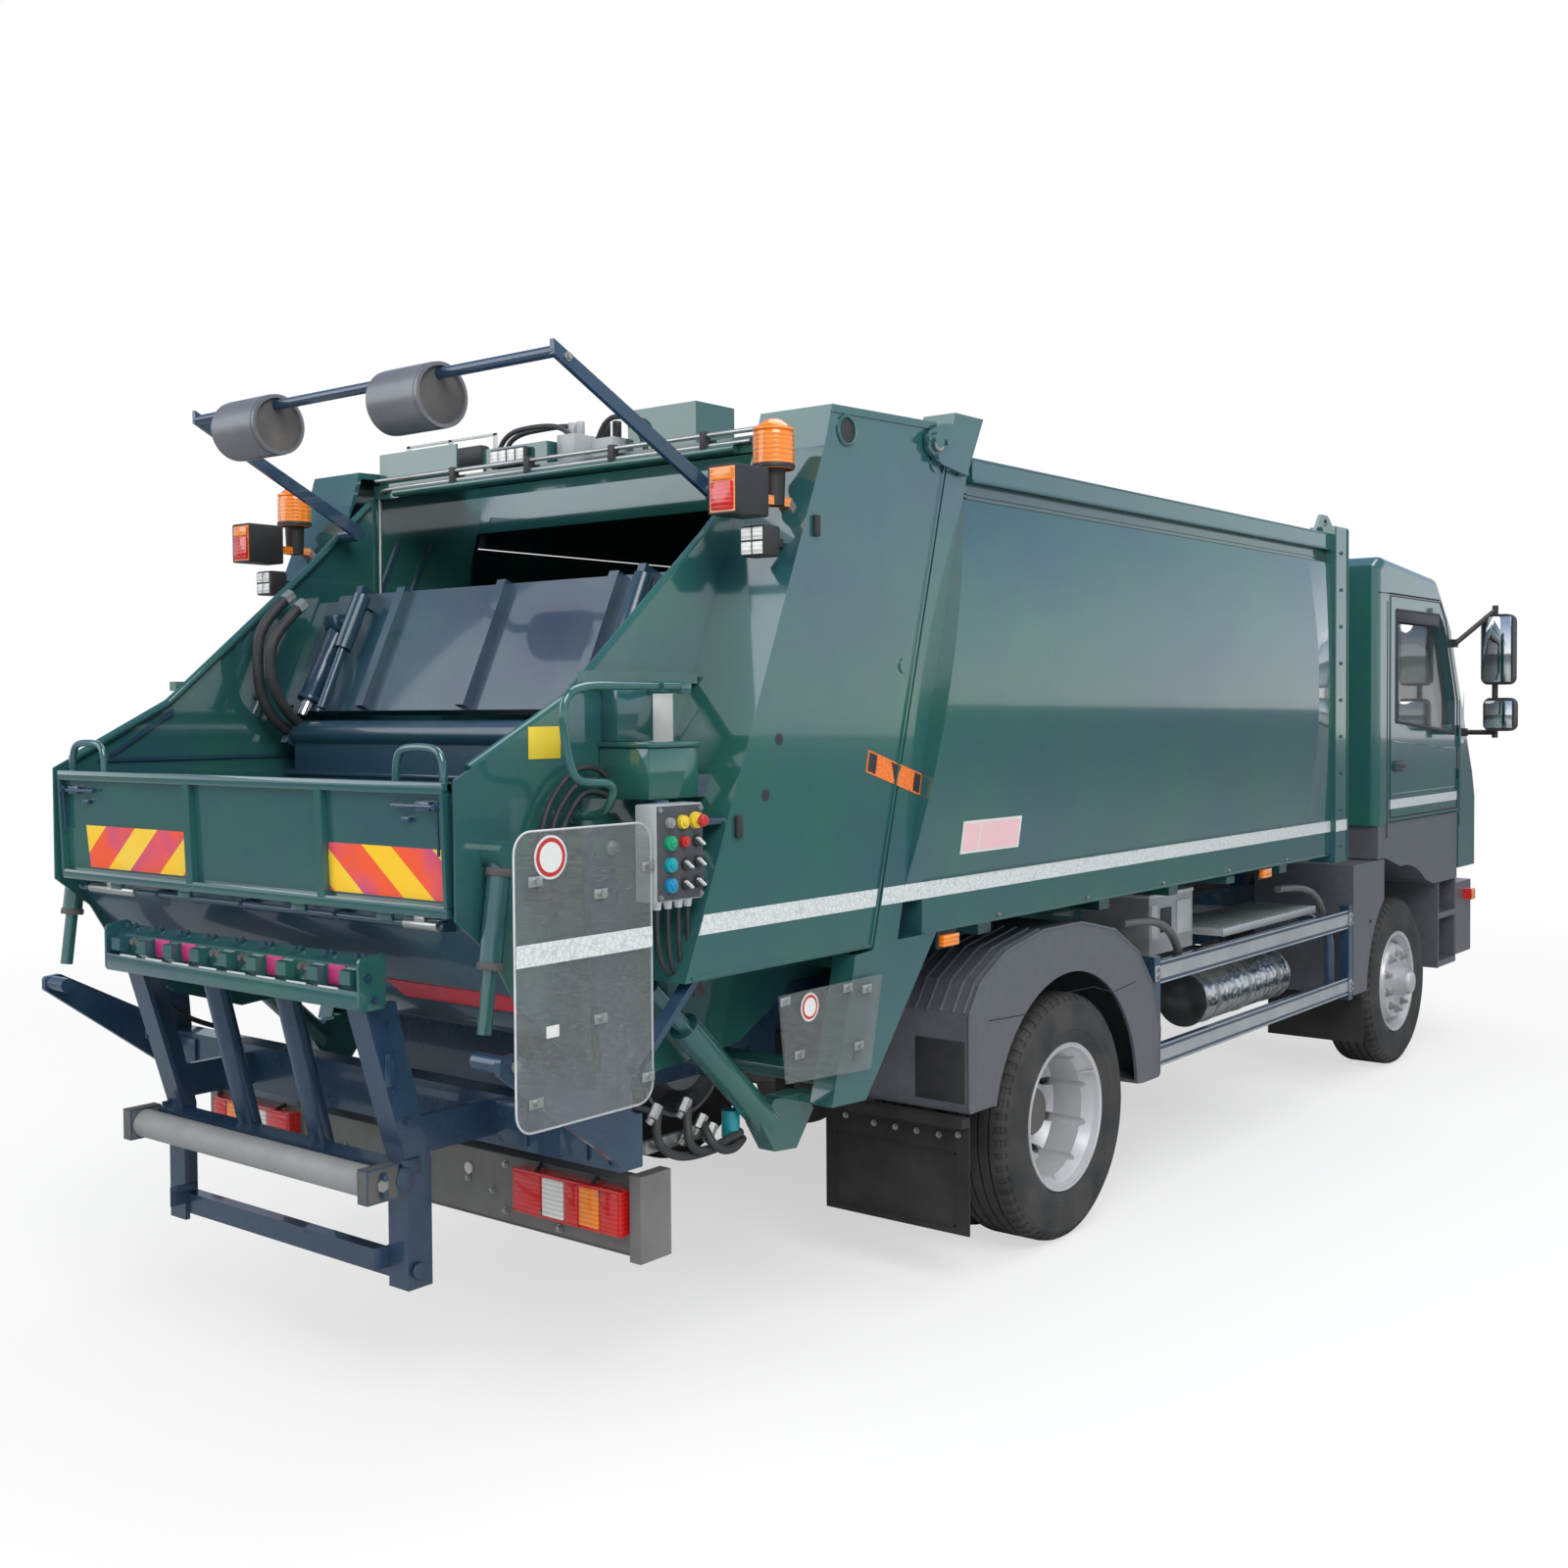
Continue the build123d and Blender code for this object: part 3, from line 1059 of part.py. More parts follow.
# Bin lift: arms from the pivots down to a beam, levers to the lift cylinders, and the comb's frame
with BuildPart() as lift_frame:
    arm_outer_y = lift_arm_y + lift_arm_thickness
    half = beam_size / 2
    low = beam_z - beam_height / 2
    post_top = comb_low_z + 30 - gap
    box(beam_x - half, beam_x + half, 0, beam_half_width, low, low + beam_height)
    arm = [(beam_x - 50, low + 10), (lift_pivot_x - 50, lift_pivot_z), (lift_pivot_x, lift_pivot_z + 55)]
    arm += [(lift_pivot_x + 50, lift_pivot_z), (beam_x + 50, low + 10)]
    slab(arm, lift_arm_y, arm_outer_y, round_corners=20)
    lever = [(beam_x - 30, low + 10), (lever_tip_x - 25, 1005), (lever_tip_x - 25, 1045)]
    lever += [(lever_tip_x + 25, 1050), (beam_x + 30, low + beam_height - 5)]
    slab(lever, beam_half_width - 20, beam_half_width, round_corners=12)
    disc(lever_tip_x, 1025, 22, ram_line_y - 20, beam_half_width)
    reach = [(beam_x, low + 20), (post_foot_x, low + 20), (post_foot_x, low + 120), (beam_x, low + 120)]
    slab(reach, post_y - 20, post_y)
    channel = [(post_foot_x, foot_z), (post_foot_x, low), (post_head_x, post_top)]
    channel += [(post_head_x + 100, post_top), (post_foot_x + post_depth, low)]
    channel += [(post_foot_x + post_depth, foot_z)]
    slab(channel, post_y - 20, post_y)
    flange = [(post_foot_x, foot_z), (post_foot_x, low), (post_head_x, post_top)]
    flange += [(x + 15, z) for x, z in reversed(flange)]
    slab(flange, post_y - 80, post_y)
    mirror(about=Plane.XZ)
    for y in (-170, 170):
        bar((post_foot_x + 30, y, 640), (post_head_x + 40, y, post_top), 32)
    box(post_foot_x - 50, post_foot_x + 20, -post_y + 5, post_y - 5, 620, 690)
    box(post_foot_x + 10, post_foot_x + 50, -post_y + 5, post_y - 5, foot_z + 20, foot_z + 80)
    bar((post_foot_x - 95, -540, 655), (post_foot_x - 95, 540, 655), 40)
    for y in (-555, 555):
        box(post_foot_x - 140, post_foot_x - 40, y - 20, y + 20, 610, 700)
    for sign in (1, -1):
        pivot_y = sorted((sign * (lift_arm_y - 20), sign * (arm_outer_y + 20)))
        disc(lift_pivot_x, lift_pivot_z, lift_pivot_radius + running, *pivot_y, mode=Mode.SUBTRACT)
lift_frame.part.label = "lift_frame"
export_step(lift_frame.part, "parts/lift_frame.step")

tooth_pitch = 2 * (comb_half_width - 50) / 8
with BuildPart() as comb:
    body = [(comb_front_x, comb_low_z + 30), (comb_front_x, comb_top_z), (comb_rear_x + 30, comb_top_z - 20)]
    body += [(comb_rear_x + 30, comb_low_z + 60), (comb_front_x - 40, comb_low_z + 30)]
    slab(body, -comb_half_width, comb_half_width)
    for index in range(9):
        y = -comb_half_width + 50 + index * tooth_pitch
        tooth = [(comb_rear_x + 35, comb_low_z + 60), (comb_rear_x, comb_low_z + 90)]
        tooth += [(comb_rear_x, comb_top_z - 30), (comb_rear_x + 35, comb_top_z - 25)]
        slab(tooth, y - 22, y + 22)
    for sign in (1, -1):
        cheek = [(comb_front_x + 4, comb_low_z + 25), (comb_front_x + 4, comb_top_z + 15)]
        cheek += [(comb_rear_x, comb_top_z + 5), (comb_rear_x, comb_low_z + 25)]
        slab(cheek, *sorted((sign * comb_half_width, sign * (comb_half_width + 10))), round_corners=15)
comb.part.label = "comb"
export_step(comb.part, "parts/comb.step")

drum_radius = 92.0
# Lid opener: a bar on two arms that pushes bin lids back, with two open drums
with BuildPart() as lid_bar:
    arm = [(lid_hinge_x + 10, lid_hinge_z - 25), (lid_tip_x, lid_tip_z - 25), (lid_tip_x, lid_tip_z + 15)]
    arm += [(lid_hinge_x + 10, lid_hinge_z + 25)]
    slab(arm, lid_arm_y - 8, lid_arm_y + 8)
    lid_pin_end = side_outer_y - 2 * edge_radius - running
    bar((lid_hinge_x, lid_arm_y - 8, lid_hinge_z), (lid_hinge_x, lid_pin_end, lid_hinge_z), 25)
    mirror(about=Plane.XZ)
    bar((lid_tip_x + 15, -lid_arm_y, lid_tip_z - 15), (lid_tip_x + 15, lid_arm_y, lid_tip_z - 15), 16)
    for y0, y1 in ((405, 600), (-360, -165)):
        with BuildSketch(side(y1)) as drum:
            with Locations((lid_tip_x + 15, lid_tip_z - 75)):
                Circle(drum_radius)
                Circle(drum_radius - 6, mode=Mode.SUBTRACT)
        extrude(drum.sketch, amount=y1 - y0)
        drum_top_z = lid_tip_z - 75 + drum_radius
        box(lid_tip_x + 11, lid_tip_x + 19, y0 + 20, y1 - 20, lid_tip_z - 20, drum_top_z - 3)
lid_bar.part.label = "lid_bar"
export_step(lid_bar.part, "parts/lid_bar.step")


def along(distance, aside=0.0):
    """A point of the packer's slide, counted up from the blade's hinge."""
    x = tub_x + slide_lean_x * distance - slide_lean_z * aside
    return (x, tub_z + slide_lean_z * distance + slide_lean_x * aside)


lug_y = (830, 866)
with BuildPart() as packer_carriage:
    slab([along(75, 20), along(carriage_length, 20), along(carriage_length, -20), along(75, -20)], -870, 870)
    for sign in (1, -1):
        shoe = [along(100, 15), along(carriage_length - 20, 15)]
        shoe += [along(carriage_length - 20, -15), along(100, -15)]
        slab(shoe, *sorted((sign * 865, sign * tub_inner_y)))
    for y in (-500, 0, 500):
        edge = [along(80, 50), along(carriage_length, 50), along(carriage_length, 0), along(80, 0)]
        slab(edge, y - 20, y + 20)
    for sign in (1, -1):
        y0, y1 = sorted((sign * lug_y[0], sign * lug_y[1]))
        lug = [along(-50, 40), along(90, 40), along(90, -40), along(-50, -40)]
        slab(lug, y0, y1)
        disc(tub_x, tub_z, blade_pin_radius + running, y0 - 5, y1 + 5, mode=Mode.SUBTRACT)
        top = along(carriage_length - 40, 75)
        middle = along(280, 75)
        low = along(62, 72)
        y = sign * 660
        bar((top[0], y, top[1]), (middle[0], y, middle[1]), 30)
        bar((middle[0], y, middle[1]), (low[0], y, low[1]), 16)
        ear = [along(carriage_length - 10, 95), along(carriage_length - 70, 95)]
        ear += [along(carriage_length - 70, 10), along(carriage_length - 10, 10)]
        slab(ear, y - 15, y + 15)
packer_carriage.part.label = "packer_carriage"
export_step(packer_carriage.part, "parts/packer_carriage.step")

with BuildPart() as packer_blade:
    bar((tub_x, -lug_y[0] + clear, tub_z), (tub_x, lug_y[0] - clear, tub_z), blade_tube_radius)
    bar((tub_x, -lug_y[1], tub_z), (tub_x, lug_y[1], tub_z), blade_pin_radius)
    plate = [(tub_x - 30, tub_z), (tub_x - 25, tub_z - blade_length + 40), (tub_x + 5, tub_z - blade_length)]
    plate += [(tub_x + 25, tub_z - blade_length), (tub_x + 15, tub_z)]
    slab(plate, -lug_y[0] + clear, lug_y[0] - clear)
    wide = [(tub_x - 30, tub_z - 120), (tub_x - 25, tub_z - blade_length + 40)]
    wide += [(tub_x + 5, tub_z - blade_length)]
    wide += [(tub_x + 25, tub_z - blade_length), (tub_x + 18, tub_z - 120)]
    slab(wide, -blade_half_width, blade_half_width)
    for y in (-700, -350, 0, 350, 700):
        rib = [(tub_x + 10, tub_z - 50), (tub_x + 100, tub_z - 300)]
        rib += [(tub_x + 60, tub_z - blade_length + 60), (tub_x + 10, tub_z - blade_length + 60)]
        slab(rib, y - 10, y + 10)
packer_blade.part.label = "packer_blade"
export_step(packer_blade.part, "parts/packer_blade.step")
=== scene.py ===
import bpy
import bmesh
from math import cos, pi, radians, sin
from mathutils import Matrix, Vector


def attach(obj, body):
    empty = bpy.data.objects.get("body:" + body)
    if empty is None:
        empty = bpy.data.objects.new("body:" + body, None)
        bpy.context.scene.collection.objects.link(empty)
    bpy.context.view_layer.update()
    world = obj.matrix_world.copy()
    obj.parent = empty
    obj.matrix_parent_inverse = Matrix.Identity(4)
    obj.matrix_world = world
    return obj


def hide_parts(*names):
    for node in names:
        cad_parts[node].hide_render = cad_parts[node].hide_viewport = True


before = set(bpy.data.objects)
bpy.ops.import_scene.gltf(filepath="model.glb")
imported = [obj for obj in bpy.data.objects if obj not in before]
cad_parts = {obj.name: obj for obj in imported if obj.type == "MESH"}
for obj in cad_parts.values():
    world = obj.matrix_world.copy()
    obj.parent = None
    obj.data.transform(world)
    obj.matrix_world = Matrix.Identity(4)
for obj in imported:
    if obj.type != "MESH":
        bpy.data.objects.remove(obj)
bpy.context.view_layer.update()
rearAxleX = -1.102  # lengths below are metres, counted from the middle of the rear axle
print("frame loaded:", len(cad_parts), "nodes")


# shader maths: a socket that can be added, scaled and compared
class Signal:
    def __init__(self, tree, socket):
        self.tree, self.socket = tree, socket

    def node(self, kind, settings=None, values=None, output=0):
        made = self.tree.nodes.new(kind)
        for key, value in (settings or {}).items():
            if key == "stops":
                ramp = made.color_ramp
                while len(ramp.elements) < len(value):
                    ramp.elements.new(0.5)
                for element, (place, color) in zip(ramp.elements, value):
                    element.position, element.color = place, (*color, 1)
            else:
                setattr(made, key, value)
        for key, value in (values or {}).items():
            if isinstance(value, Signal):
                self.tree.links.new(value.socket, made.inputs[key])
            else:
                made.inputs[key].default_value = value
        return Signal(self.tree, made.outputs[output])

    def math(self, operation, a, b=0.0, clamp=False):
        return self.node("ShaderNodeMath", {"operation": operation, "use_clamp": clamp}, {0: a, 1: b})

    def __add__(self, other):
        return self.math("ADD", self, other)

    __radd__ = __add__

    def __sub__(self, other):
        return self.math("SUBTRACT", self, other)

    def __rsub__(self, other):
        return self.math("SUBTRACT", other, self)

    def __mul__(self, other):
        return self.math("MULTIPLY", self, other)

    __rmul__ = __mul__

    def __gt__(self, other):
        return self.math("GREATER_THAN", self, other)

    def clamped(self):
        return self.math("ADD", self, 0.0, True)

    def part(self, divisor):
        return self.math("FRACT", self * (1 / divisor))

    def noise(self, scale, detail=4.0, rough=0.55):
        values = {"Vector": self, "Scale": scale, "Detail": detail, "Roughness": rough}
        return self.node("ShaderNodeTexNoise", None, values)

    def prisms(self, scale):  # the small cells of reflective sheet, dark along their edges
        edges = self.node("ShaderNodeTexVoronoi", {"feature": "DISTANCE_TO_EDGE"}, {"Vector": self, "Scale": scale})
        return (edges * 9.0).clamped()

    def stretched(self, x, y, z):
        return self.node("ShaderNodeMapping", None, {"Vector": self, "Scale": (x, y, z)})

    def blend(self, low, high):
        return self.node("ShaderNodeMix", {"data_type": "RGBA"}, {0: self, 6: rgba(low), 7: rgba(high)}, 2)


def rgba(color):
    return color if isinstance(color, Signal) else (*color, 1.0)


finishes = {}


class Finish:
    def __init__(self, name):
        self.material = bpy.data.materials.new(name)
        self.material.use_nodes = True
        self.tree = self.material.node_tree
        self.shader = self.tree.nodes["Principled BSDF"]
        self.here = Signal(self.tree, self.tree.nodes.new("ShaderNodeTexCoord").outputs["Object"])
        self.x, self.y, self.z = (self.here.node("ShaderNodeSeparateXYZ", None, {0: self.here}, i) for i in range(3))
        finishes[name] = self

    def feed(self, name, value):
        if isinstance(value, Signal):
            self.tree.links.new(value.socket, self.shader.inputs[name])
        else:
            self.shader.inputs[name].default_value = value

    def paint(self, color, rough, coat=0.0, metal=0.0):
        for name, value in (("Base Color", color), ("Roughness", rough), ("Coat Weight", coat), ("Metallic", metal)):
            self.feed(name, value)

    def bump(self, height, strength, distance=0.002):
        values = {"Height": height, "Strength": strength, "Distance": distance}
        self.feed("Normal", self.here.node("ShaderNodeBump", None, values))


# plain finishes: base and worn colour (on bodyGreen and innerGreen a navy tone of painted shade and painted sky
# reflection), roughness, its spread, coat, grain, bump and metal
finishLook = {
    # the second colour of bodyGreen and innerGreen is a navy tone of painted shade and painted sky reflection
    "bodyGreen": ((0.022, 0.118, 0.080), (0.022, 0.074, 0.108), 0.12, 0.06, 1.0, 34, 0.012, 0.0),
    "innerGreen": ((0.018, 0.070, 0.088), (0.016, 0.032, 0.080), 0.3, 0.2, 0.5, 40, 0.05, 0.0),
    "frameBlue": ((0.012, 0.036, 0.088), (0.022, 0.058, 0.095), 0.26, 0.2, 0.6, 60, 0.05, 0.0),
    "darkSteel": ((0.085, 0.087, 0.088), (0.12, 0.12, 0.118), 0.42, 0.25, 0.15, 120, 0.1, 0.0),
    "silverPaint": ((0.66, 0.67, 0.69), (0.48, 0.48, 0.49), 0.34, 0.18, 0.2, 60, 0.04, 0.3),
    "castGrey": ((0.06, 0.06, 0.062), (0.14, 0.13, 0.12), 0.7, 0.2, 0.0, 90, 0.3, 0.0),
    "greyPlastic": ((0.078, 0.083, 0.098), (0.105, 0.11, 0.125), 0.4, 0.15, 0.3, 420, 0.18, 0.0),
    "blackPlastic": ((0.02, 0.02, 0.021), (0.032, 0.032, 0.034), 0.48, 0.15, 0.0, 380, 0.18, 0.0),
    "blackRubber": ((0.011, 0.011, 0.012), (0.022, 0.021, 0.021), 0.72, 0.12, 0.0, 160, 0.25, 0.0),
    "brightSteel": ((0.62, 0.62, 0.61), (0.4, 0.4, 0.4), 0.22, 0.2, 0.0, 40, 0.08, 1.0),
    "zincPlate": ((0.62, 0.62, 0.6), (0.38, 0.38, 0.36), 0.35, 0.2, 0.0, 80, 0.05, 0.9),
    "aluminium": ((0.66, 0.67, 0.68), (0.5, 0.51, 0.52), 0.38, 0.12, 0.0, 90, 0.06, 0.75),
    "boxGrey": ((0.42, 0.44, 0.45), (0.34, 0.35, 0.36), 0.4, 0.12, 0.2, 120, 0.05, 0.0),
    "lightGrey": ((0.62, 0.64, 0.65), (0.5, 0.52, 0.53), 0.42, 0.1, 0.1, 120, 0.04, 0.0),
    "rollerGrey": ((0.30, 0.30, 0.295), (0.22, 0.225, 0.23), 0.5, 0.2, 0.0, 140, 0.1, 0.0),
    "panelGrey": ((0.045, 0.05, 0.055), (0.065, 0.07, 0.075), 0.5, 0.1, 0.0, 300, 0.08, 0.0),
    "seatCloth": ((0.035, 0.037, 0.045), (0.05, 0.052, 0.06), 0.9, 0.05, 0.0, 500, 0.5, 0.0),
    "signWhite": ((0.72, 0.72, 0.71), (0.6, 0.6, 0.58), 0.4, 0.1, 0.2, 60, 0.02, 0.0),
    "signYellow": ((0.75, 0.58, 0.03), (0.66, 0.48, 0.03), 0.4, 0.1, 0.2, 60, 0.02, 0.0),
    "signPink": ((0.80, 0.52, 0.55), (0.74, 0.46, 0.50), 0.4, 0.1, 0.2, 60, 0.02, 0.0),
    "signRed": ((0.52, 0.015, 0.012), (0.42, 0.02, 0.015), 0.35, 0.1, 0.3, 60, 0.02, 0.0),
    "greaseCap": ((0.50, 0.02, 0.16), (0.40, 0.02, 0.13), 0.4, 0.1, 0.2, 90, 0.02, 0.0),
    "buttonGreen": ((0.0, 0.33, 0.14), (0.0, 0.26, 0.11), 0.3, 0.05, 0.5, 90, 0.01, 0.0),
    "buttonBlue": ((0.0, 0.22, 0.42), (0.0, 0.18, 0.36), 0.3, 0.05, 0.5, 90, 0.01, 0.0),
    "buttonTeal": ((0.0, 0.3, 0.36), (0.0, 0.24, 0.3), 0.3, 0.05, 0.5, 90, 0.01, 0.0),
    "underrunGrey": ((0.12, 0.118, 0.115), (0.18, 0.178, 0.17), 0.45, 0.2, 0.1, 120, 0.08, 0.0),
    "drumGrey": ((0.13, 0.135, 0.15), (0.19, 0.195, 0.21), 0.4, 0.2, 0.2, 70, 0.05, 0.3),
    "chrome": ((0.72, 0.73, 0.75), (0.6, 0.61, 0.63), 0.12, 0.08, 0.0, 40, 0.02, 1.0),
    "mirrorGlass": ((0.85, 0.87, 0.88), (0.8, 0.82, 0.83), 0.05, 0.03, 0.0, 20, 0.004, 1.0),
    "shadowGap": ((0.006, 0.008, 0.012), (0.012, 0.014, 0.02), 0.7, 0.1, 0.0, 120, 0.02, 0.0),
    "hoseBlack": ((0.018, 0.018, 0.02), (0.045, 0.045, 0.048), 0.55, 0.2, 0.0, 300, 0.3, 0.0),
}
roadDust = dict(top=0.95, color=(0.16, 0.15, 0.13), dulling=0.8)
for name, (base, wornAndShadeTone, rough, spread, coat, grain, bump, metal) in finishLook.items():
    made = Finish(name)
    patches = made.here.noise(grain * 0.06, 6.0, 0.6)
    # random patches of the second colour: wear on most finishes, painted navy shade and sky reflection on the two
    # body greens
    wearAndShade = (patches * 2.2 - 0.6).clamped()
    cloud = (made.here.noise(5.0, 5.0) * 1.6 - 0.45).clamped()
    dust = ((roadDust["top"] - made.z) * 0.9).clamped() * cloud * 0.35
    color = dust.blend(wearAndShade.blend(base, wornAndShadeTone), roadDust["color"])
    made.paint(color, (rough + (patches - 0.5) * spread + dust * roadDust["dulling"]).clamped(), coat, metal)
    made.shader.inputs["Coat Roughness"].default_value = 0.04
    made.bump(made.here.noise(grain, 3.0), bump, 0.004)

tapeColors = {"tapeSilver": (0.62, 0.66, 0.66), "tapeRed": (0.55, 0.02, 0.04), "tapeOrange": (0.85, 0.19, 0.02)}
for name, base in tapeColors.items():
    made = Finish(name)
    cells = made.here.prisms(60.0)
    made.paint(cells.blend([c * 0.72 for c in base], base), 0.28 + made.here.noise(30.0) * 0.15, 0.5)
    made.bump(cells, 0.15, 0.001)

hazardBars = dict(width=0.277, red=0.57, hazardLeft=(1.25, 0.075), hazardRight=(-1.25, -0.018))
for name in ("hazardLeft", "hazardRight"):
    lean, shift = hazardBars[name]
    made = Finish(name)  # slanted yellow and red bars across the flap
    bars = (made.y + made.z * lean + shift).part(hazardBars["width"]) > hazardBars["red"]
    faded = (made.here.noise(5.0, 2.0) * 5.0 - 2.3).clamped()
    red = faded.blend((0.88, 0.085, 0.012), (0.60, 0.065, 0.17))
    yellow = faded.blend((0.95, 0.56, 0.0), (0.90, 0.62, 0.05))
    made.paint(bars.blend(red, yellow), 0.25 + (made.here.noise(90.0) * 0.8).clamped() * 0.2, 0.6)
    made.bump(made.here.prisms(48.0), 0.12, 0.001)

clearLook = {"clearSheet": ((0.20, 0.21, 0.21), 0.28, 0.3, 0.12), "windowGlass": ((0.03, 0.04, 0.045), 0.55,
    0.03, 0.03)}
for name, (base, alpha, scratch, rough) in clearLook.items():
    made = Finish(name)
    marks = (made.here.stretched(18, 18, 140).noise(2.0, 8.0, 0.75) * 3.0 - 1.5).clamped()
    made.paint(marks.blend(base, (0.5, 0.52, 0.52)), (rough + marks * 0.2).clamped(), 0.7)
    made.feed("Alpha", (alpha + marks * scratch).clamped())
    made.bump(made.here.noise(4.0), 0.03, 0.004)

lensLook = dict(ribs=24.0, glow=0.1)
lensColors = {"lensRed": (0.6, 0.01, 0.008), "lensAmber": (0.9, 0.24, 0.01), "lensWhite": (0.7, 0.7, 0.68)}
for name, color in lensColors.items():
    made = Finish(name)
    values = {"Vector": made.here, "Scale": lensLook["ribs"]}
    wave = made.here.node("ShaderNodeTexWave", {"bands_direction": "Z"}, values)
    made.paint(wave.blend([c * 0.7 for c in color], color), 0.12 + wave * 0.12, 1.0)
    made.shader.inputs["Emission Color"].default_value = (*color, 1)
    made.shader.inputs["Emission Strength"].default_value = lensLook["glow"]
    made.bump(wave, 0.25, 0.002)

made = Finish("tyreRubber")
dusty = (made.here.noise(7.0, 6.0) * 1.8 - 0.55).clamped()
made.paint(dusty.blend((0.020, 0.020, 0.020), (0.075, 0.072, 0.068)), 0.72 + dusty * 0.18)
made.bump(made.here.noise(150.0, 4.0), 0.3, 0.002)

made = Finish("dimpledSteel")  # pressed heat shield round the silencer
values = {"Vector": made.here, "Scale": 34.0, "Smoothness": 0.5}
cells = made.here.node("ShaderNodeTexVoronoi", {"feature": "SMOOTH_F1"}, values)
made.paint(cells.blend((0.74, 0.74, 0.73), (0.5, 0.5, 0.49)), 0.16 + made.here.noise(12.0) * 0.18, 0.0, 1.0)
made.bump(cells, 0.6, 0.006)

nodeFinish = {
    "bodyGreen": "container_sides container_floor container_roof container_front rear_frame pillars hopper_sides "
                 "tailgate_hood flap cab_shell door_left door_right comb",
    "innerGreen": "hopper_tub packer_carriage packer_blade",
    "frameBlue": "chassis_frame side_guards lift_frame lid_bar",
    "underrunGrey": "underrun",
    "silverPaint": "front_rim_left front_rim_right rear_rims_left rear_rims_right",
    "tyreRubber": "front_tyre_left front_tyre_right rear_tyres_left rear_tyres_right",
    "blackRubber": "mud_flaps",
    "greyPlastic": "mudguards cab_arches steps bumper",
    "blackPlastic": "dashboard grille mirrors",
    "castGrey": "engine front_axle rear_axle knuckle_left knuckle_right",
    "dimpledSteel": "silencer",
    "aluminium": "left_tanks",
    "clearSheet": "clear_guard leg_guard",
    "windowGlass": "windscreen door_glass_left door_glass_right",
    "lensAmber": "beacons",
    "lensRed": "lamps",
    "seatCloth": "seats",
    "boxGrey": "control_box service_deck",
}
for finish, names in nodeFinish.items():
    for name in names.split():
        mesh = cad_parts[name].data
        mesh.materials.clear()
        mesh.materials.append(finishes[finish].material)
print("materials:", len(finishes))

slotOf = {
    "underrunGrey": "dark_steel", "drumGrey": "frame_blue", "bodyGreen": "body_green", "innerGreen": "body_green",
    "frameBlue": "frame_blue", "darkSteel": "dark_steel", "silverPaint": "silver_rim", "tyreRubber": "tyre",
    "blackRubber": "flap_rubber", "greyPlastic": "grey_plastic", "blackPlastic": "black_plastic", "castGrey": "cast",
    "dimpledSteel": "bright_steel", "clearSheet": "clear", "windowGlass": "tinted_glass", "lensAmber": "amber",
    "lensRed": "lamp_red", "seatCloth": "seat_cloth",
}


# mesh helpers: each adds one shape to a bmesh, in metres from the rear axle
def roundEdges(bm, edges, offset):
    bmesh.ops.bevel(bm, geom=list(edges), offset=offset, segments=2, profile=0.5, affect="EDGES", material=-1)


def addBox(bm, x0, x1, y0, y1, z0, z1, round=0.0):
    size = Matrix.Diagonal((abs(x1 - x0), abs(y1 - y0), abs(z1 - z0), 1))
    place = Matrix.Translation((rearAxleX + (x0 + x1) / 2, (y0 + y1) / 2, (z0 + z1) / 2))
    cube = bmesh.ops.create_cube(bm, size=1, matrix=place @ size)
    if round:
        roundEdges(bm, {e for v in cube["verts"] for e in v.link_edges}, round)


def addRod(bm, start, end, radius, sides=16, round=0.0, endRadius=None):
    a, b = Vector(start), Vector(end)
    turn = (b - a).to_track_quat("Z", "Y").to_matrix().to_4x4()
    place = Matrix.Translation((a + b) / 2 + Vector((rearAxleX, 0, 0))) @ turn
    far = radius if endRadius is None else endRadius
    depth = (b - a).length
    cone = bmesh.ops.create_cone(bm, cap_ends=True, segments=sides, radius1=radius, radius2=far, depth=depth,
                                 matrix=place)
    if round:
        rims = {e for v in cone["verts"] for e in v.link_edges if any(len(f.verts) > 4 for f in e.link_faces)}
        roundEdges(bm, rims, round)


def addPlate(bm, points, y0, y1):
    corners = [bm.verts.new((rearAxleX + x, y0, z)) for x, z in points]
    grown = bmesh.ops.extrude_face_region(bm, geom=[bm.faces.new(corners)])["geom"]
    bmesh.ops.translate(bm, vec=(0, y1 - y0, 0), verts=[g for g in grown if isinstance(g, bmesh.types.BMVert)])
    faces = {f for v in corners for f in v.link_faces} | {g for g in grown if isinstance(g, bmesh.types.BMFace)}
    bmesh.ops.recalc_face_normals(bm, faces=list(faces))


def addTurned(bm, profile, centre, axis, steps=48):
    # profile of (distance along the axis, radius), closed when it ends where it began
    turn = Vector(axis).to_track_quat("Z", "Y").to_matrix().to_4x4()
    place = Matrix.Translation(Vector(centre) + Vector((rearAxleX, 0, 0))) @ turn
    closed = profile[0] == profile[-1]
    points = profile[:-1] if closed else profile
    verts = [bm.verts.new((radius, 0, along)) for along, radius in points]
    edges = [bm.edges.new(pair) for pair in zip(verts, verts[1:])]
    if closed:
        edges.append(bm.edges.new((verts[-1], verts[0])))
    before = set(bm.verts) - set(verts)
    bmesh.ops.spin(bm, geom=verts + edges, cent=(0, 0, 0), axis=(0, 0, 1), angle=2 * pi, steps=steps, use_merge=True)
    bmesh.ops.remove_doubles(bm, verts=[v for v in bm.verts if v not in before], dist=1e-5)
    made = [v for v in bm.verts if v not in before]
    bmesh.ops.recalc_face_normals(bm, faces=list({f for v in made for f in v.link_faces}))
    bmesh.ops.transform(bm, matrix=place, verts=made)


def addBolt(bm, place, axis, size):
    a, n = Vector(place), Vector(axis).normalized()
    addRod(bm, a - n * 0.002, a + n * size * 0.15, size * 0.72, 12)
    addRod(bm, a + n * size * 0.1, a + n * size * 0.62, size * 0.5, 6)


def carry(piece, body, finish):
    bpy.context.scene.collection.objects.link(piece)
    piece.data.materials.append(finishes[finish].material)
    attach(piece, body)
    finish in slotOf


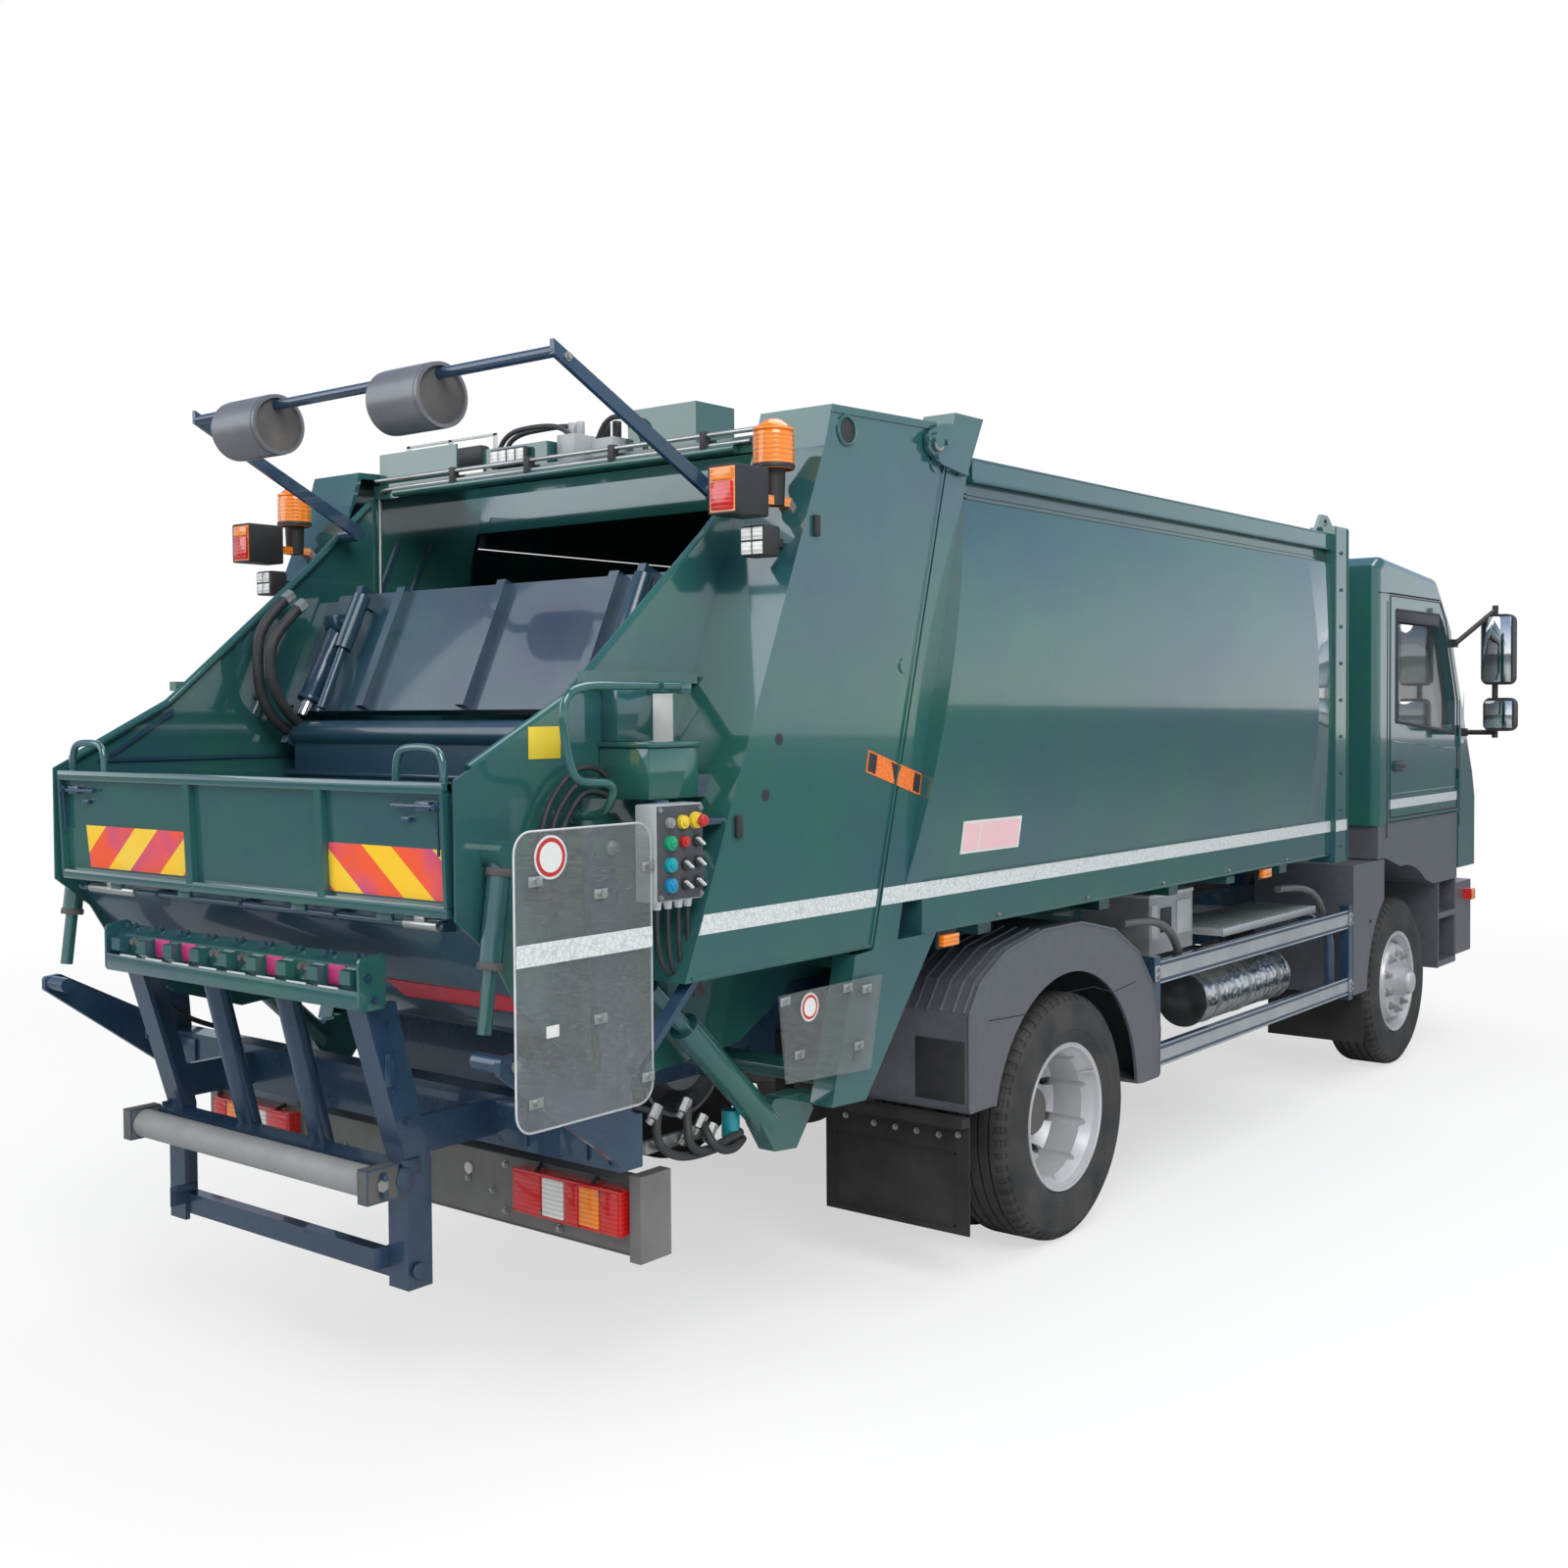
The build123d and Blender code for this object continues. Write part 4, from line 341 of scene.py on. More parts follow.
def finishPiece(name, bm, body, finish, crease=32, replaced=()):
    mesh = bpy.data.meshes.new(name)
    bm.to_mesh(mesh)
    bm.free()
    mesh.shade_smooth()
    mesh.set_sharp_from_angle(angle=radians(crease))
    piece = bpy.data.objects.new(name, mesh)
    carry(piece, body, finish)
    if replaced:
        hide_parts(*replaced)


both = (1, -1)
sideways, rearward, skyward = (0, 1, 0), (-1, 0, 0), (0, 0, 1)


def makePiece(name, body, finish, sides=(1,), boxes=(), rods=(), pins=(), posts=(), plates=(), bolts=(),
              axis=sideways,
              turned=(), crease=30, replaced=()):
    # one piece from rows of shapes: pins lie across the truck, posts stand, bolts share an axis
    bm = bmesh.new()
    for side in sides:
        for x0, x1, y0, y1, z0, z1, *rest in boxes:
            addBox(bm, x0, x1, side * y0, side * y1, z0, z1, *rest)
        for (ax, ay, az), (bx, by, bz), *rest in rods:
            addRod(bm, (ax, side * ay, az), (bx, side * by, bz), *rest)
        for x, z, y0, y1, *rest in pins:
            addRod(bm, (x, side * y0, z), (x, side * y1, z), *rest)
        for x, y, z0, z1, *rest in posts:
            addRod(bm, (x, side * y, z0), (x, side * y, z1), *rest)
        for points, y0, y1 in plates:
            addPlate(bm, points, side * y0, side * y1)
        for x, y, z, size in bolts:
            addBolt(bm, (x, side * y, z), (axis[0], side * axis[1], axis[2]), size)
        for profile, x, y, z, steps in turned:
            addTurned(bm, profile, (x, side * y, z), (0, side, 0), steps)
    finishPiece(name, bm, body, finish, crease, replaced)


def makePair(name, body, finish, **rows):
    for label, side in (("left", 1), ("right", -1)):
        makePiece(f"{name}_{label}", body.format(label), finish, (side,), **rows)


def addHoses(name, body, finish, radius, routes):
    curve = bpy.data.curves.new(name, "CURVE")
    curve.dimensions = "3D"
    curve.bevel_depth = radius
    curve.bevel_resolution = 3
    curve.use_fill_caps = True
    for route in routes:
        spline = curve.splines.new("NURBS")
        spline.points.add(len(route) - 1)
        for point, (x, y, z) in zip(spline.points, route):
            point.co = (rearAxleX + x, y, z, 1)
        spline.order_u = 3
        spline.use_endpoint_u = True
        spline.resolution_u = 6
    carry(bpy.data.objects.new(name, curve), body, finish)


def bead(points, y, radius, sides=8):
    return [((ax, y, az), (bx, y, bz), radius, sides) for (ax, az), (bx, bz) in zip(points, points[1:])]


def routeAt(y, points):
    return [(x, y, z) for x, z in points]


def sideBulge(z):  # how far out the container's side is at a height
    return 1.2 + 0.055 * (1 - ((z - 1.936) / 0.594) ** 2)


def seamX(z):  # the slanted joint between the container and the tailgate
    return -0.796 + 0.2775 * (z - 2.642)


def pillarX(z):  # the tailgate cover's rear edge
    return -2.02 + 0.603 * (z - 1.171) / 1.443


wallY, frameY, doorY = 1.2002, 1.2202, 1.1502  # just outside the container, its frames and the cab doors

# tyres: a ribbed crown with cut grooves, shoulder blocks and a moulded side wall
tyreShape = dict(radius=0.4335, half=0.131, grooves=(0.062, 0.021, -0.021, -0.062), grooveHalf=0.0055,
                 grooveDeep=0.013, blocks=60, shoulder=0.412,
                 wall=((0.034, 0.248), (0.014, 0.262), (0.010, 0.272), (0.006, 0.282), (0.003, 0.300), (0.003, 0.303),
                       (0.0005, 0.306), (0, 0.335), (0.001, 0.372), (0.005, 0.385), (0.004, 0.394), (0.012, 0.408),
                       (0.022, 0.424), (0.034, 0.4305), (0.050, 0.4335)))  # inset from the side, and radius


def addTyre(bm, x, y):
    half, radius = tyreShape["half"], tyreShape["radius"]
    wide, deep = tyreShape["grooveHalf"], tyreShape["grooveDeep"]
    wall = [(half - inset, reach) for inset, reach in tyreShape["wall"]]
    crown = []
    for middle in tyreShape["grooves"]:
        for across, drop in ((wide, 0), (wide * 0.6, deep), (-wide * 0.6, deep), (-wide, 0)):
            crown.append((middle + across, radius - drop))
    profile = wall + crown + [(-a, r) for a, r in reversed(wall)]
    before = set(bm.faces)
    addTurned(bm, profile + profile[:1], (x, y, radius), (0, 1, 0), steps=tyreShape["blocks"] * 2)
    shoulder = []
    for face in set(bm.faces) - before:
        c = face.calc_center_median()
        dx, dz = c.x - rearAxleX - x, c.z - radius
        turn = Vector((dx, dz)).angle_signed(Vector((1, 0))) / (2 * pi)
        step = int((turn % 1) * tyreShape["blocks"] * 2)
        if (dx * dx + dz * dz) ** 0.5 > tyreShape["shoulder"] and abs(c.y - y) > half - 0.045 and step % 2 == 0:
            shoulder.append(face)
    bmesh.ops.inset_individual(bm, faces=shoulder, thickness=0.0016, depth=-0.004)


for name, sign in (("left", 1), ("right", -1)):
    bm = bmesh.new()
    addTyre(bm, 3.62, sign * 0.99)
    finishPiece(f"frontTyre_{name}", bm, f"front_wheel_{name}", "tyreRubber", 28, [f"front_tyre_{name}"])
    bm = bmesh.new()
    addTyre(bm, 0.0, sign * 1.055)
    addTyre(bm, 0.0, sign * 0.755)
    finishPiece(f"rearTyres_{name}", bm, f"rear_wheel_{name}", "tyreRubber", 28, [f"rear_tyres_{name}"])

# wheel trim: nuts with washers round each hub, a hub cap, and a lip round each rim
rimLip = [(0.112, 0.2595), (0.1165, 0.2605), (0.1205, 0.2585), (0.1205, 0.254), (0.1165, 0.2515), (0.112, 0.2595)]
wheelTrim = dict(
    front=dict(axle=3.62, tyre=0.99, face=1.103, cap=1.165, capRadius=0.058, reach=0.147, paint="silverPaint"),
    rear=dict(axle=0.0, tyre=1.055, face=0.919, cap=1.022, capRadius=0.086, reach=0.150, paint="castGrey"))
for name, trim in wheelTrim.items():
    body, x, face, r, middle = name + "_wheel", trim["axle"], trim["face"], trim["capRadius"], tyreShape["radius"]
    angles = [2 * pi * (index + 0.5) / 10 for index in range(10)]
    nuts = [(x + cos(angle) * trim["reach"], middle + sin(angle) * trim["reach"]) for angle in angles]
    makePair("wheelNuts_" + body, body + "_{}", "zincPlate", crease=32, bolts=[(a, face, b, 0.031) for a, b in nuts],
             pins=[(a, b, face, face + 0.034, 0.009, 10) for a, b in nuts])
    cap = [(0.0, r), (0.012, r), (0.024, r * 0.92), (0.03, r * 0.6), (0.032, 0.0)]
    makePair("hubCap_" + body, body + "_{}", trim["paint"], crease=32, turned=[(cap, x, trim["cap"], middle, 32)])
    valve = ((x + 0.19, trim["tyre"] + 0.07, 0.55), (x + 0.2, trim["tyre"] + 0.118, 0.56), 0.005, 10)
    makePair("rimLip_" + body, body + "_{}", "silverPaint", crease=60, rods=[valve],
             turned=[(rimLip, x, trim["tyre"], middle, 96)])
print("wheels done")

# reflective stripe along the container, the tailgate and the cab
stripe = dict(z0=1.290, z1=1.3415, thick=0.0012)
z0, z1, thick = stripe["z0"], stripe["z1"], stripe["thick"]
makePair("containerStripe", "chassis", "tapeSilver", crease=32, plates=[
    ([(seamX(z0) + 0.016, z0), (seamX(z1) + 0.016, z1), (2.43, z1), (2.43, z0)], wallY, wallY + thick),
    ([(2.431, z0), (2.431, z1), (2.593, z1), (2.593, z0)], frameY, frameY + thick)])
makePair("tailgateStripe", "tailgate", "tapeSilver", crease=32, plates=[
    ([(pillarX(z0) + 0.004, z0), (pillarX(z1) + 0.004, z1), (seamX(z1) - 0.003, z1), (seamX(z0) - 0.003, z0)],
     wallY, wallY + thick)])
makePair("doorStripe", "cab_door_{}", "tapeSilver", crease=32, plates=[
    ([(3.38, 1.345), (3.38, 1.392), (4.48, 1.392), (4.48, 1.345)], doorY, doorY + thick)])

# slanted yellow and red panels on the flap
hazard = dict(left=(0.77, 0.224), right=(-0.422, -0.886), z0=1.408, z1=1.535, low=-2.5238, high=-2.5297, thick=0.0015)
for name, lean in (("left", 0.012), ("right", -0.012)):
    y0, y1 = hazard[name]
    low, high, z0, z1 = hazard["low"], hazard["high"], hazard["z0"], hazard["z1"]
    bm = bmesh.new()
    corners = [(low, y0 - lean, z0), (low, y1, z0), (high, y1, z1), (high, y0, z1)]
    face = bm.faces.new([bm.verts.new((rearAxleX + x, y, z)) for x, y, z in corners])
    bmesh.ops.recalc_face_normals(bm, faces=[face])
    bmesh.ops.solidify(bm, geom=[face], thickness=hazard["thick"])
    finishPiece(f"hazardPanel_{name}", bm, "hopper_flap", f"hazard{name.capitalize()}")
print("stripes and panels done")

# container: folded lips on the top rail, bolts on the front frame, marker lamps and blank plates
containerTrim = dict(rear=-0.64, front=2.43, grooves=(2.538, 2.552, 2.582), markers=((-0.773, 1.146), (1.71, 1.156)))
rear, front = containerTrim["rear"], containerTrim["front"]
lips = [(rear, front, 1.1702, 1.1752, z, z + 0.005) for z in containerTrim["grooves"]]
lips += [(-0.93, front, wallY, 1.2035, 1.343, 1.349), (-0.93, front, wallY, 1.2045, 1.181, 1.187)]
makePair("containerLips", "chassis", "bodyGreen", crease=40, boxes=lips,
         rods=bead([(rear, 2.594), (front, 2.594)], 1.197, 0.006, 10) + bead([(rear, 2.662), (front, 2.662)],
             1.197, 0.005, 10),
         posts=[(x, 1.222, 1.15, 2.695, 0.004, 8) for x in (2.434, 2.590)],
         bolts=[(2.512, frameY, 1.22 + index * 0.17, 0.014) for index in range(9)])
makePair("sideMarkers", "chassis", "lensAmber", crease=32, boxes=[
    (x - 0.045, x + 0.045, 1.178, 1.2005, z - 0.019, z + 0.019, 0.004) for x, z in containerTrim["markers"]])
makePair("markerBrackets", "chassis", "blackPlastic", crease=32, boxes=[
    (x - 0.055, x + 0.055, 1.17, 1.182, z - 0.026, z + 0.034, 0.003) for x, z in containerTrim["markers"]])
blankPlate = {"Plate": ("signWhite", 0.0008, ((-0.745, -0.39, 0.0),)),
              "Field": ("signPink", 0.0016, ((-0.735, -0.645, 0.008), (-0.636, -0.4, 0.008)))}
for name, sign in (("left", 1), ("right", -1)):
    for kind, (finish, lift, fields) in blankPlate.items():
        bm = bmesh.new()
        for x0, x1, inset in fields:
            z0, z1 = 1.413 + inset, 1.517 - inset
            rows = [(sideBulge(z) + lift, z) for z in (z0, (z0 + z1) / 2, z1)]
            for (ya, za), (yb, zb) in zip(rows, rows[1:]):
                corners = ((x0, ya, za), (x1, ya, za), (x1, yb, zb), (x0, yb, zb))
                bm.faces.new([bm.verts.new((rearAxleX + x, sign * y, z)) for x, y, z in corners])
        bmesh.ops.remove_doubles(bm, verts=bm.verts[:], dist=1e-5)
        bmesh.ops.solidify(bm, geom=bm.faces[:], thickness=0.0006)
        bmesh.ops.recalc_face_normals(bm, faces=bm.faces[:])
        finishPiece(f"blank{kind}_{name}", bm, "chassis", finish)

# tailgate covers: folded edge, hinge plate, dark latches, a round port and the marker plate
portRing = [(0, 0.046), (0.004, 0.046), (0.006, 0.042), (0.006, 0.037), (0.0, 0.037)]
portGlass = [(0, 0.0365), (0.0012, 0.0365), (0.0015, 0.0)]
plug = [(0, 0.016), (0.001, 0.016), (0.0012, 0.0)]
low, high = 1.18, 2.62
makePair("coverLips", "tailgate", "bodyGreen", crease=35, turned=[(portRing, -1.315, wallY, 2.668, 32)], plates=[
    ([(seamX(low) - 0.006, low), (seamX(high) - 0.006, high), (seamX(high) - 0.014, high), (seamX(low) - 0.014, low)],
     wallY, 1.206),
    ([(pillarX(low) + 0.02, 1.177), (seamX(1.177) - 0.02, 1.177), (seamX(1.185) - 0.02, 1.185),
      (pillarX(1.185) + 0.02, 1.185)], wallY, 1.2045),
    ([(-1.385, 2.712), (-0.865, 2.727), (-0.865, 2.733), (-1.385, 2.718)], wallY, 1.2045)],
    pins=[(seamX(z) - 0.06, z, 1.2, 1.2045, 0.022, 20) for z in (2.0, high)],
    bolts=[(x, 1.2225, z, 0.016) for x, z in ((-0.83, 2.69), (-0.93, 2.69), (-0.88, 2.64))])
makePair("coverLatches", "tailgate", "blackPlastic", crease=32,
         turned=[(portGlass, -1.315, wallY, 2.668, 32), (plug, -1.69, wallY, 1.64, 20),
                 (plug, -1.63, wallY, 1.79, 20)],
         boxes=[(x - 0.012, x + 0.012, wallY, 1.212, z - 0.03, z + 0.03, 0.003) for x,
                z in ((-1.464, 2.384), (-1.81, 1.562))])
makePair("slantPlate", "tailgate", "tapeOrange", crease=32, plates=[
    ([(-1.215, 1.752), (-0.938, 1.672), (-0.952, 1.608), (-1.229, 1.688)], wallY, 1.2016)])
bars = []
for u0, u1, slant in ((0.02, 0.16, 0), (0.42, 0.6, 0.1), (0.86, 0.98, 0)):
    corners = ((u0, 0.08), (u1, 0.08), (u1 - slant, 0.92), (u0 + slant, 0.92))
    bars.append(([(-1.215 + 0.277 * u - 0.014 * v, 1.752 - 0.080 * u - 0.064 * v) for u, v in corners],
                 1.2016, 1.2024))
makePair("slantPlateBars", "tailgate", "blackPlastic", crease=32, plates=bars)
makePair("smallStrip", "chassis", "tapeSilver", crease=32, boxes=[(-0.792, -0.732, 1.2001, 1.2012, 2.612, 2.622)])
print("container and covers done")

# flap: sheet, lips, ribs and grips, in place of the plain one
flapShape = dict(half=0.899, ribs=(0.205, -0.402), grips=((0.655, 0.835), (-0.885, -0.705)), gripTop=1.784,
                 gripFoot=1.695)
half = flapShape["half"]
rib = [(-2.541, 1.39), (-2.552, 1.68), (-2.528, 1.68), (-2.515, 1.39)]
edge = rib[:3] + [(-2.517, 1.39)]
makePiece("flapPanel", "hopper_flap", "bodyGreen", crease=40, replaced=["flap"],
          plates=[([(-2.521, 1.368), (-2.536, 1.70), (-2.524, 1.70), (-2.509, 1.368)], -half, half)]
          + [(rib, y - 0.016, y + 0.016) for y in flapShape["ribs"]]
          + [(edge, sign * (half - 0.012), sign * half) for sign in both],
          boxes=[(-2.552, -2.518, -half, half, 1.67, 1.70, 0.004), (-2.541, -2.511, -half, half, 1.368, 1.398, 0.004)]
          + [(-2.52, -2.508, y - 0.03, y + 0.03, 1.346, 1.372, 0.003) for y in (-0.63, 0.63, -0.27, 0.27)])
gripRoutes = []
for y0, y1 in flapShape["grips"]:
    top, foot = flapShape["gripTop"], flapShape["gripFoot"]
    gripRoutes.append([(-2.535, y, z) for y, z in (
        (y0, foot), (y0, foot + 0.04), (y0 + 0.012, top - 0.012), (y0 + 0.045, top),
        (y1 - 0.045, top), (y1 - 0.012, top - 0.012), (y1, foot + 0.04), (y1, foot))])
addHoses("flapGrips", "hopper_flap", "bodyGreen", 0.0105, gripRoutes)
makePiece("flapLatches", "hopper_flap", "frameBlue", both, crease=40, axis=rearward,
          bolts=[(-2.548, 0.872, 1.64, 0.018)],
          boxes=[(-2.548, -2.53, 0.79, 0.845, 1.628, 1.652, 0.003),
          (-2.546, -2.532, 0.735, 0.765, 1.60, 1.612, 0.002)],
          rods=[((-2.545, 0.70, 1.64), (-2.545, 0.892, 1.64), 0.006, 12),
          ((-2.548, 0.872, 1.648), (-2.541, 0.872, 1.52), 0.004, 10)])
makePiece("hingeBushes", "tailgate", "zincPlate", crease=40,
          pins=[(-2.505, 1.343, y0, y1, 0.0145, 20, 0.002) for y0, y1 in ((-0.83, -0.70), (0.54, 0.79))],
          boxes=[(-2.518, -2.492, y - 0.02, y + 0.02, 1.346, 1.366, 0.003) for y in (-0.765, 0.665)])

# hopper: weld beads and ribs inside, the retracted cylinders beside the blade
slope = [([(x, 1.74), (x + 0.34, 2.5), (x + 0.355, 2.5), (x + 0.015, 1.74)], 0.9225, 0.9295) for x in (-1.56, -1.42)]
makePiece("hopperRibs", "tailgate", "innerGreen", both, crease=40,
          boxes=[(-2.40, -1.32, 0.9225, 0.9295, 1.72, 1.732)],
          plates=[([(-2.36, 1.735), (-2.14, 1.87), (-2.14, 1.884), (-2.36, 1.749)], 0.92, 0.9295)] + slope)
bladeRib = [(-1.70, 1.75), (-1.733, 1.71), (-1.742, 1.05), (-1.728, 1.00), (-1.715, 1.05), (-1.70, 1.71)]
makePiece("bladeRibs", "packer_plate", "innerGreen", crease=40,
          plates=[(bladeRib, y - 0.006, y + 0.006) for y in (-0.6, -0.2, 0.2, 0.6)],
          boxes=[(-1.762, -1.742, -0.86, 0.86, z, z + 0.012, 0.003) for z in (1.06, 1.36, 1.66)])


def ramPoint(share):  # a point on the packer's cylinder, from its head to its rod's eye
    return (-1.565 - 0.17 * share, 0.80, 2.18 - 0.32 * share)


makePiece("packerCylinders", "packer_slide", "frameBlue", both, crease=40,
          rods=[(ramPoint(0), ramPoint(0.82), 0.036, 24, 0.004), (ramPoint(0.80), ramPoint(0.85), 0.041, 24, 0.004)],
          boxes=[(-1.615, -1.545, 0.76, 0.84, 2.15, 2.21, 0.01)], pins=[(-1.585, 2.18, 0.745, 0.855, 0.018, 16)])
makePiece("packerRods", "packer_slide", "chrome", both, crease=40, rods=[(ramPoint(0.84), ramPoint(1), 0.021, 20)])
print("flap and hopper done")

# bin lift: reinforcing plates, weld nuts, roller ends, cylinder collars and pins
rollerX, rollerZ = -2.495, 0.655
makePiece("liftPlates", "bin_lift", "frameBlue", both, boxes=[
    (-2.45, -2.36, 0.478, 0.482, 0.40, 0.46, 0.002), (-2.47, -2.44, 0.5605, 0.566, 0.90, 0.99, 0.002),
    (-2.13, -2.115, 0.60, 0.72, 0.70, 0.81, 0.003), (-2.13, -2.115, 0.85, 0.95, 0.70, 0.81, 0.003),
    (-2.42, -2.36, 0.5605, 0.568, 0.66, 0.70, 0.003)],
    pins=[(-2.42, 0.655, 0.567, 0.58, 0.03, 20, 0.003), (-2.37, 0.40, 0.567, 0.575, 0.022, 20, 0.003)],
    bolts=[(-2.49, 0.576, 0.675, 0.02), (-2.49, 0.576, 0.63, 0.02), (-2.46, 0.5605, 1.06, 0.018),
           (-2.40, 0.5605, 0.80, 0.018)])
makePiece("rollerSleeve", "bin_lift", "rollerGrey", pins=[(rollerX, rollerZ, -0.532, 0.532, 0.0408, 40, 0.004)])
makePiece("rollerRings", "bin_lift", "zincPlate", both, crease=40,
          pins=[(rollerX, rollerZ, 0.530, 0.5345, 0.030, 24), (rollerX, rollerZ, 0.5755, 0.583, 0.018, 6)])
makePiece("rollerBlocks", "bin_lift", "castGrey", both, boxes=[
    (-2.5405, -2.4395, 0.5345, 0.5755, 0.6095, 0.7005, 0.006)])
makePiece("liftCylinders", "tailgate", "castGrey", both, rods=[
    ((-2.438, 0.973, 1.49), (-2.441, 0.973, 1.47), 0.0335, 28, 0.003),
    ((-2.469, 0.973, 1.262), (-2.4715, 0.973, 1.244), 0.0335, 28, 0.003)])
makePiece("liftPivots", "tailgate", "zincPlate", both, crease=40,
          pins=[(-2.146, 1.523, 1.066, 1.075, 0.019, 24, 0.002)],
          bolts=[(-2.146, 1.075, 1.523, 0.02)])
makePiece("leverPins", "bin_lift", "zincPlate", both, crease=40,
          pins=[(-2.478, 1.020, 1.0655, 1.074, 0.016, 24, 0.002)])

# comb: a rivet pair at each tooth, light strips painted as glints on the band's edges, and coloured pads in some of
# the gaps
combTrim = dict(pitch=0.135, teeth=9, padded=(0, 2, 5, 6), pinned=(1, 3, 4, 7))
edges, pads, rivets = [], [], []
for index in range(combTrim["teeth"]):
    middle = combTrim["pitch"] * (index - 4)
    rivets += [(-2.533, middle, 1.2456, 0.014), (-2.509, middle, 1.2456, 0.010)]
    if index < combTrim["teeth"] - 1:
        y0, y1 = middle + 0.026, middle + combTrim["pitch"] - 0.026
        # a thin light strip on each notch's edge: a painted highlight
        edges.append((-2.5765, -2.5745, y0, y1, 1.1655, 1.1705, 0.0005))
        if index in combTrim["padded"]:
            pads.append((-2.5485, -2.5452, y0 + 0.006, y1 - 0.006, 1.170, 1.222, 0.001))
pairs = [combTrim["pitch"] * (index - 3.5) + shift for index in combTrim["pinned"] for shift in (-0.014, 0.014)]
makePiece("combBand", "bin_lift", "bodyGreen", boxes=[(-2.5755, -2.566, -0.59, 0.59, 1.118, 1.166, 0.001)])
# the light strips are painted glints on the comb band
makePiece("combGlints", "bin_lift", "lightGrey", crease=40, boxes=edges)
makePiece("combPads", "bin_lift", "greaseCap", crease=40, boxes=pads)
makePiece("combPins", "bin_lift", "castGrey", crease=25, axis=rearward, bolts=[
    (-2.5455, y, 1.205, 0.018) for y in pairs])
makePiece("combRivets", "bin_lift", "frameBlue", crease=25, axis=skyward, bolts=rivets)
makePiece("combCheeks", "bin_lift", "frameBlue", both, bolts=[(-2.55, 0.6002, 1.20, 0.018),
    (-2.53, 0.6002, 1.14, 0.014)])

# lift hydraulics: hoses that drop from the pillars to the low beam
outerHose = ((-2.13, 1.0, 1.20), (-2.17, 1.02, 1.02), (-2.13, 1.01, 0.90), (-2.02, 0.99, 0.83), (-1.93, 0.98, 0.80))
addHoses("liftHoses", "tailgate", "hoseBlack", 0.0085, [
    [(x, -y, z) for x, y, z in outerHose],
    [(-2.10, -0.97, 1.20), (-2.15, -0.99, 1.03), (-2.11, -0.99, 0.93), (-2.02, -0.97, 0.86), (-1.93, -0.96, 0.83)],
    outerHose])
fittings = ((-1.912, 0.793), (-1.792, 0.787), (-1.783, 0.71), (-1.726, 0.729), (-1.684, 0.696))
makePiece("lowFittings", "chassis", "zincPlate", crease=25,
          boxes=[(-1.93, -1.66, -0.975, -0.955, 0.676, 0.712, 0.003)],
          rods=[((x - 0.012, -0.99, z - 0.016), (x + 0.012, -0.99, z + 0.016), 0.015, 6) for x, z in fittings]
          + [((x - 0.02, -0.985, z - 0.03), (x - 0.012, -0.99, z - 0.016), 0.011, 12) for x, z in fittings])
makePiece("lowFilter", "chassis", "buttonTeal", posts=[(-1.60, -0.99, 0.66, 0.74, 0.026, 24, 0.004)])
addHoses("lowHoses", "chassis", "hoseBlack", 0.0125, [
    [(-1.90, -0.99, 0.79), (-1.93, -1.0, 0.72), (-1.86, -1.01, 0.66), (-1.74, -1.01, 0.645), (-1.60, -1.0, 0.65)],
    [(-1.78, -0.99, 0.785), (-1.82, -1.02, 0.72), (-1.80, -1.03, 0.665), (-1.70, -1.02, 0.655),
     (-1.58, -1.01, 0.675)],
    [(-1.72, -0.99, 0.727), (-1.75, -1.04, 0.69), (-1.70, -1.045, 0.65), (-1.62, -1.03, 0.64), (-1.56, -1.0, 0.65)]])
print("lift done")

# underrun guard: edge beads, bolts and a disc at the tow eye
guardX = -1.9602
makePiece("underrunEdges", "chassis", "darkSteel", boxes=[(-1.9625, guardX, -0.05, 0.05, 0.44, 0.56, 0.002)],
          pins=[(guardX, z, -0.95, 0.95, 0.003, 8) for z in (0.407, 0.600)])
spots = ((0.45, 0.575), (0.45, 0.44), (-0.45, 0.575), (-0.45, 0.44), (0.29, 0.51), (-0.29, 0.51), (-0.395, 0.492))
makePiece("underrunBolts", "chassis", "zincPlate", crease=25, axis=rearward,
          bolts=[(guardX, 0.672, 0.43, 0.018), (guardX, -0.672, 0.43, 0.018)] + [(guardX, y, z, 0.016) for y,
              z in spots])
makePiece("towDiscs", "chassis", "lightGrey", crease=25,
          rods=[((guardX, -0.291, 0.539), (-1.9640, -0.291, 0.539), 0.017, 24, 0.001)])

# rear lamps: coloured chambers in a red frame
lampTrim = dict(face=-2.0003, z0=0.472, z1=0.579, bands=(
    (0.534, 0.640, "lensRed"), (0.646, 0.730, "lensWhite"), (0.736, 0.786, "lensRed"), (0.792, 0.866, "lensAmber"),
    (0.872, 0.939, "lensRed")))
for finish in ("lensRed", "lensWhite", "lensAmber"):
    makePiece(f"rearLamp_{finish}", "chassis", finish, both, crease=40, boxes=[
        (lampTrim["face"] - 0.006, lampTrim["face"] + 0.002, y0, y1, lampTrim["z0"], lampTrim["z1"], 0.003)
        for y0, y1, kind in lampTrim["bands"] if kind == finish])
frames = [(0.528, 0.945, 0.579, 0.587, 0.001), (0.528, 0.945, 0.464, 0.472, 0.001),
          (0.526, 0.533, 0.464, 0.587, 0.001),
          (0.940, 0.947, 0.464, 0.587, 0.001), (0.786, 0.792, 0.464, 0.587)]
makePiece("rearLampFrames", "chassis", "lensRed", both, crease=40, boxes=[(-2.0035, -1.985, *row) for row in frames])
makePiece("rearLampCables", "chassis", "hoseBlack", both, crease=40,
          rods=[((-1.99, y + 0.01, 0.587), (-1.96, y, 0.60), 0.006, 10) for y in (0.60, 0.82)])
makePiece("rearLampBulbs", "chassis", "zincPlate", both, crease=25, axis=rearward,
          bolts=[(-2.0066, 0.64, 0.48, 0.007), (-2.0066, 0.87, 0.57, 0.007)])

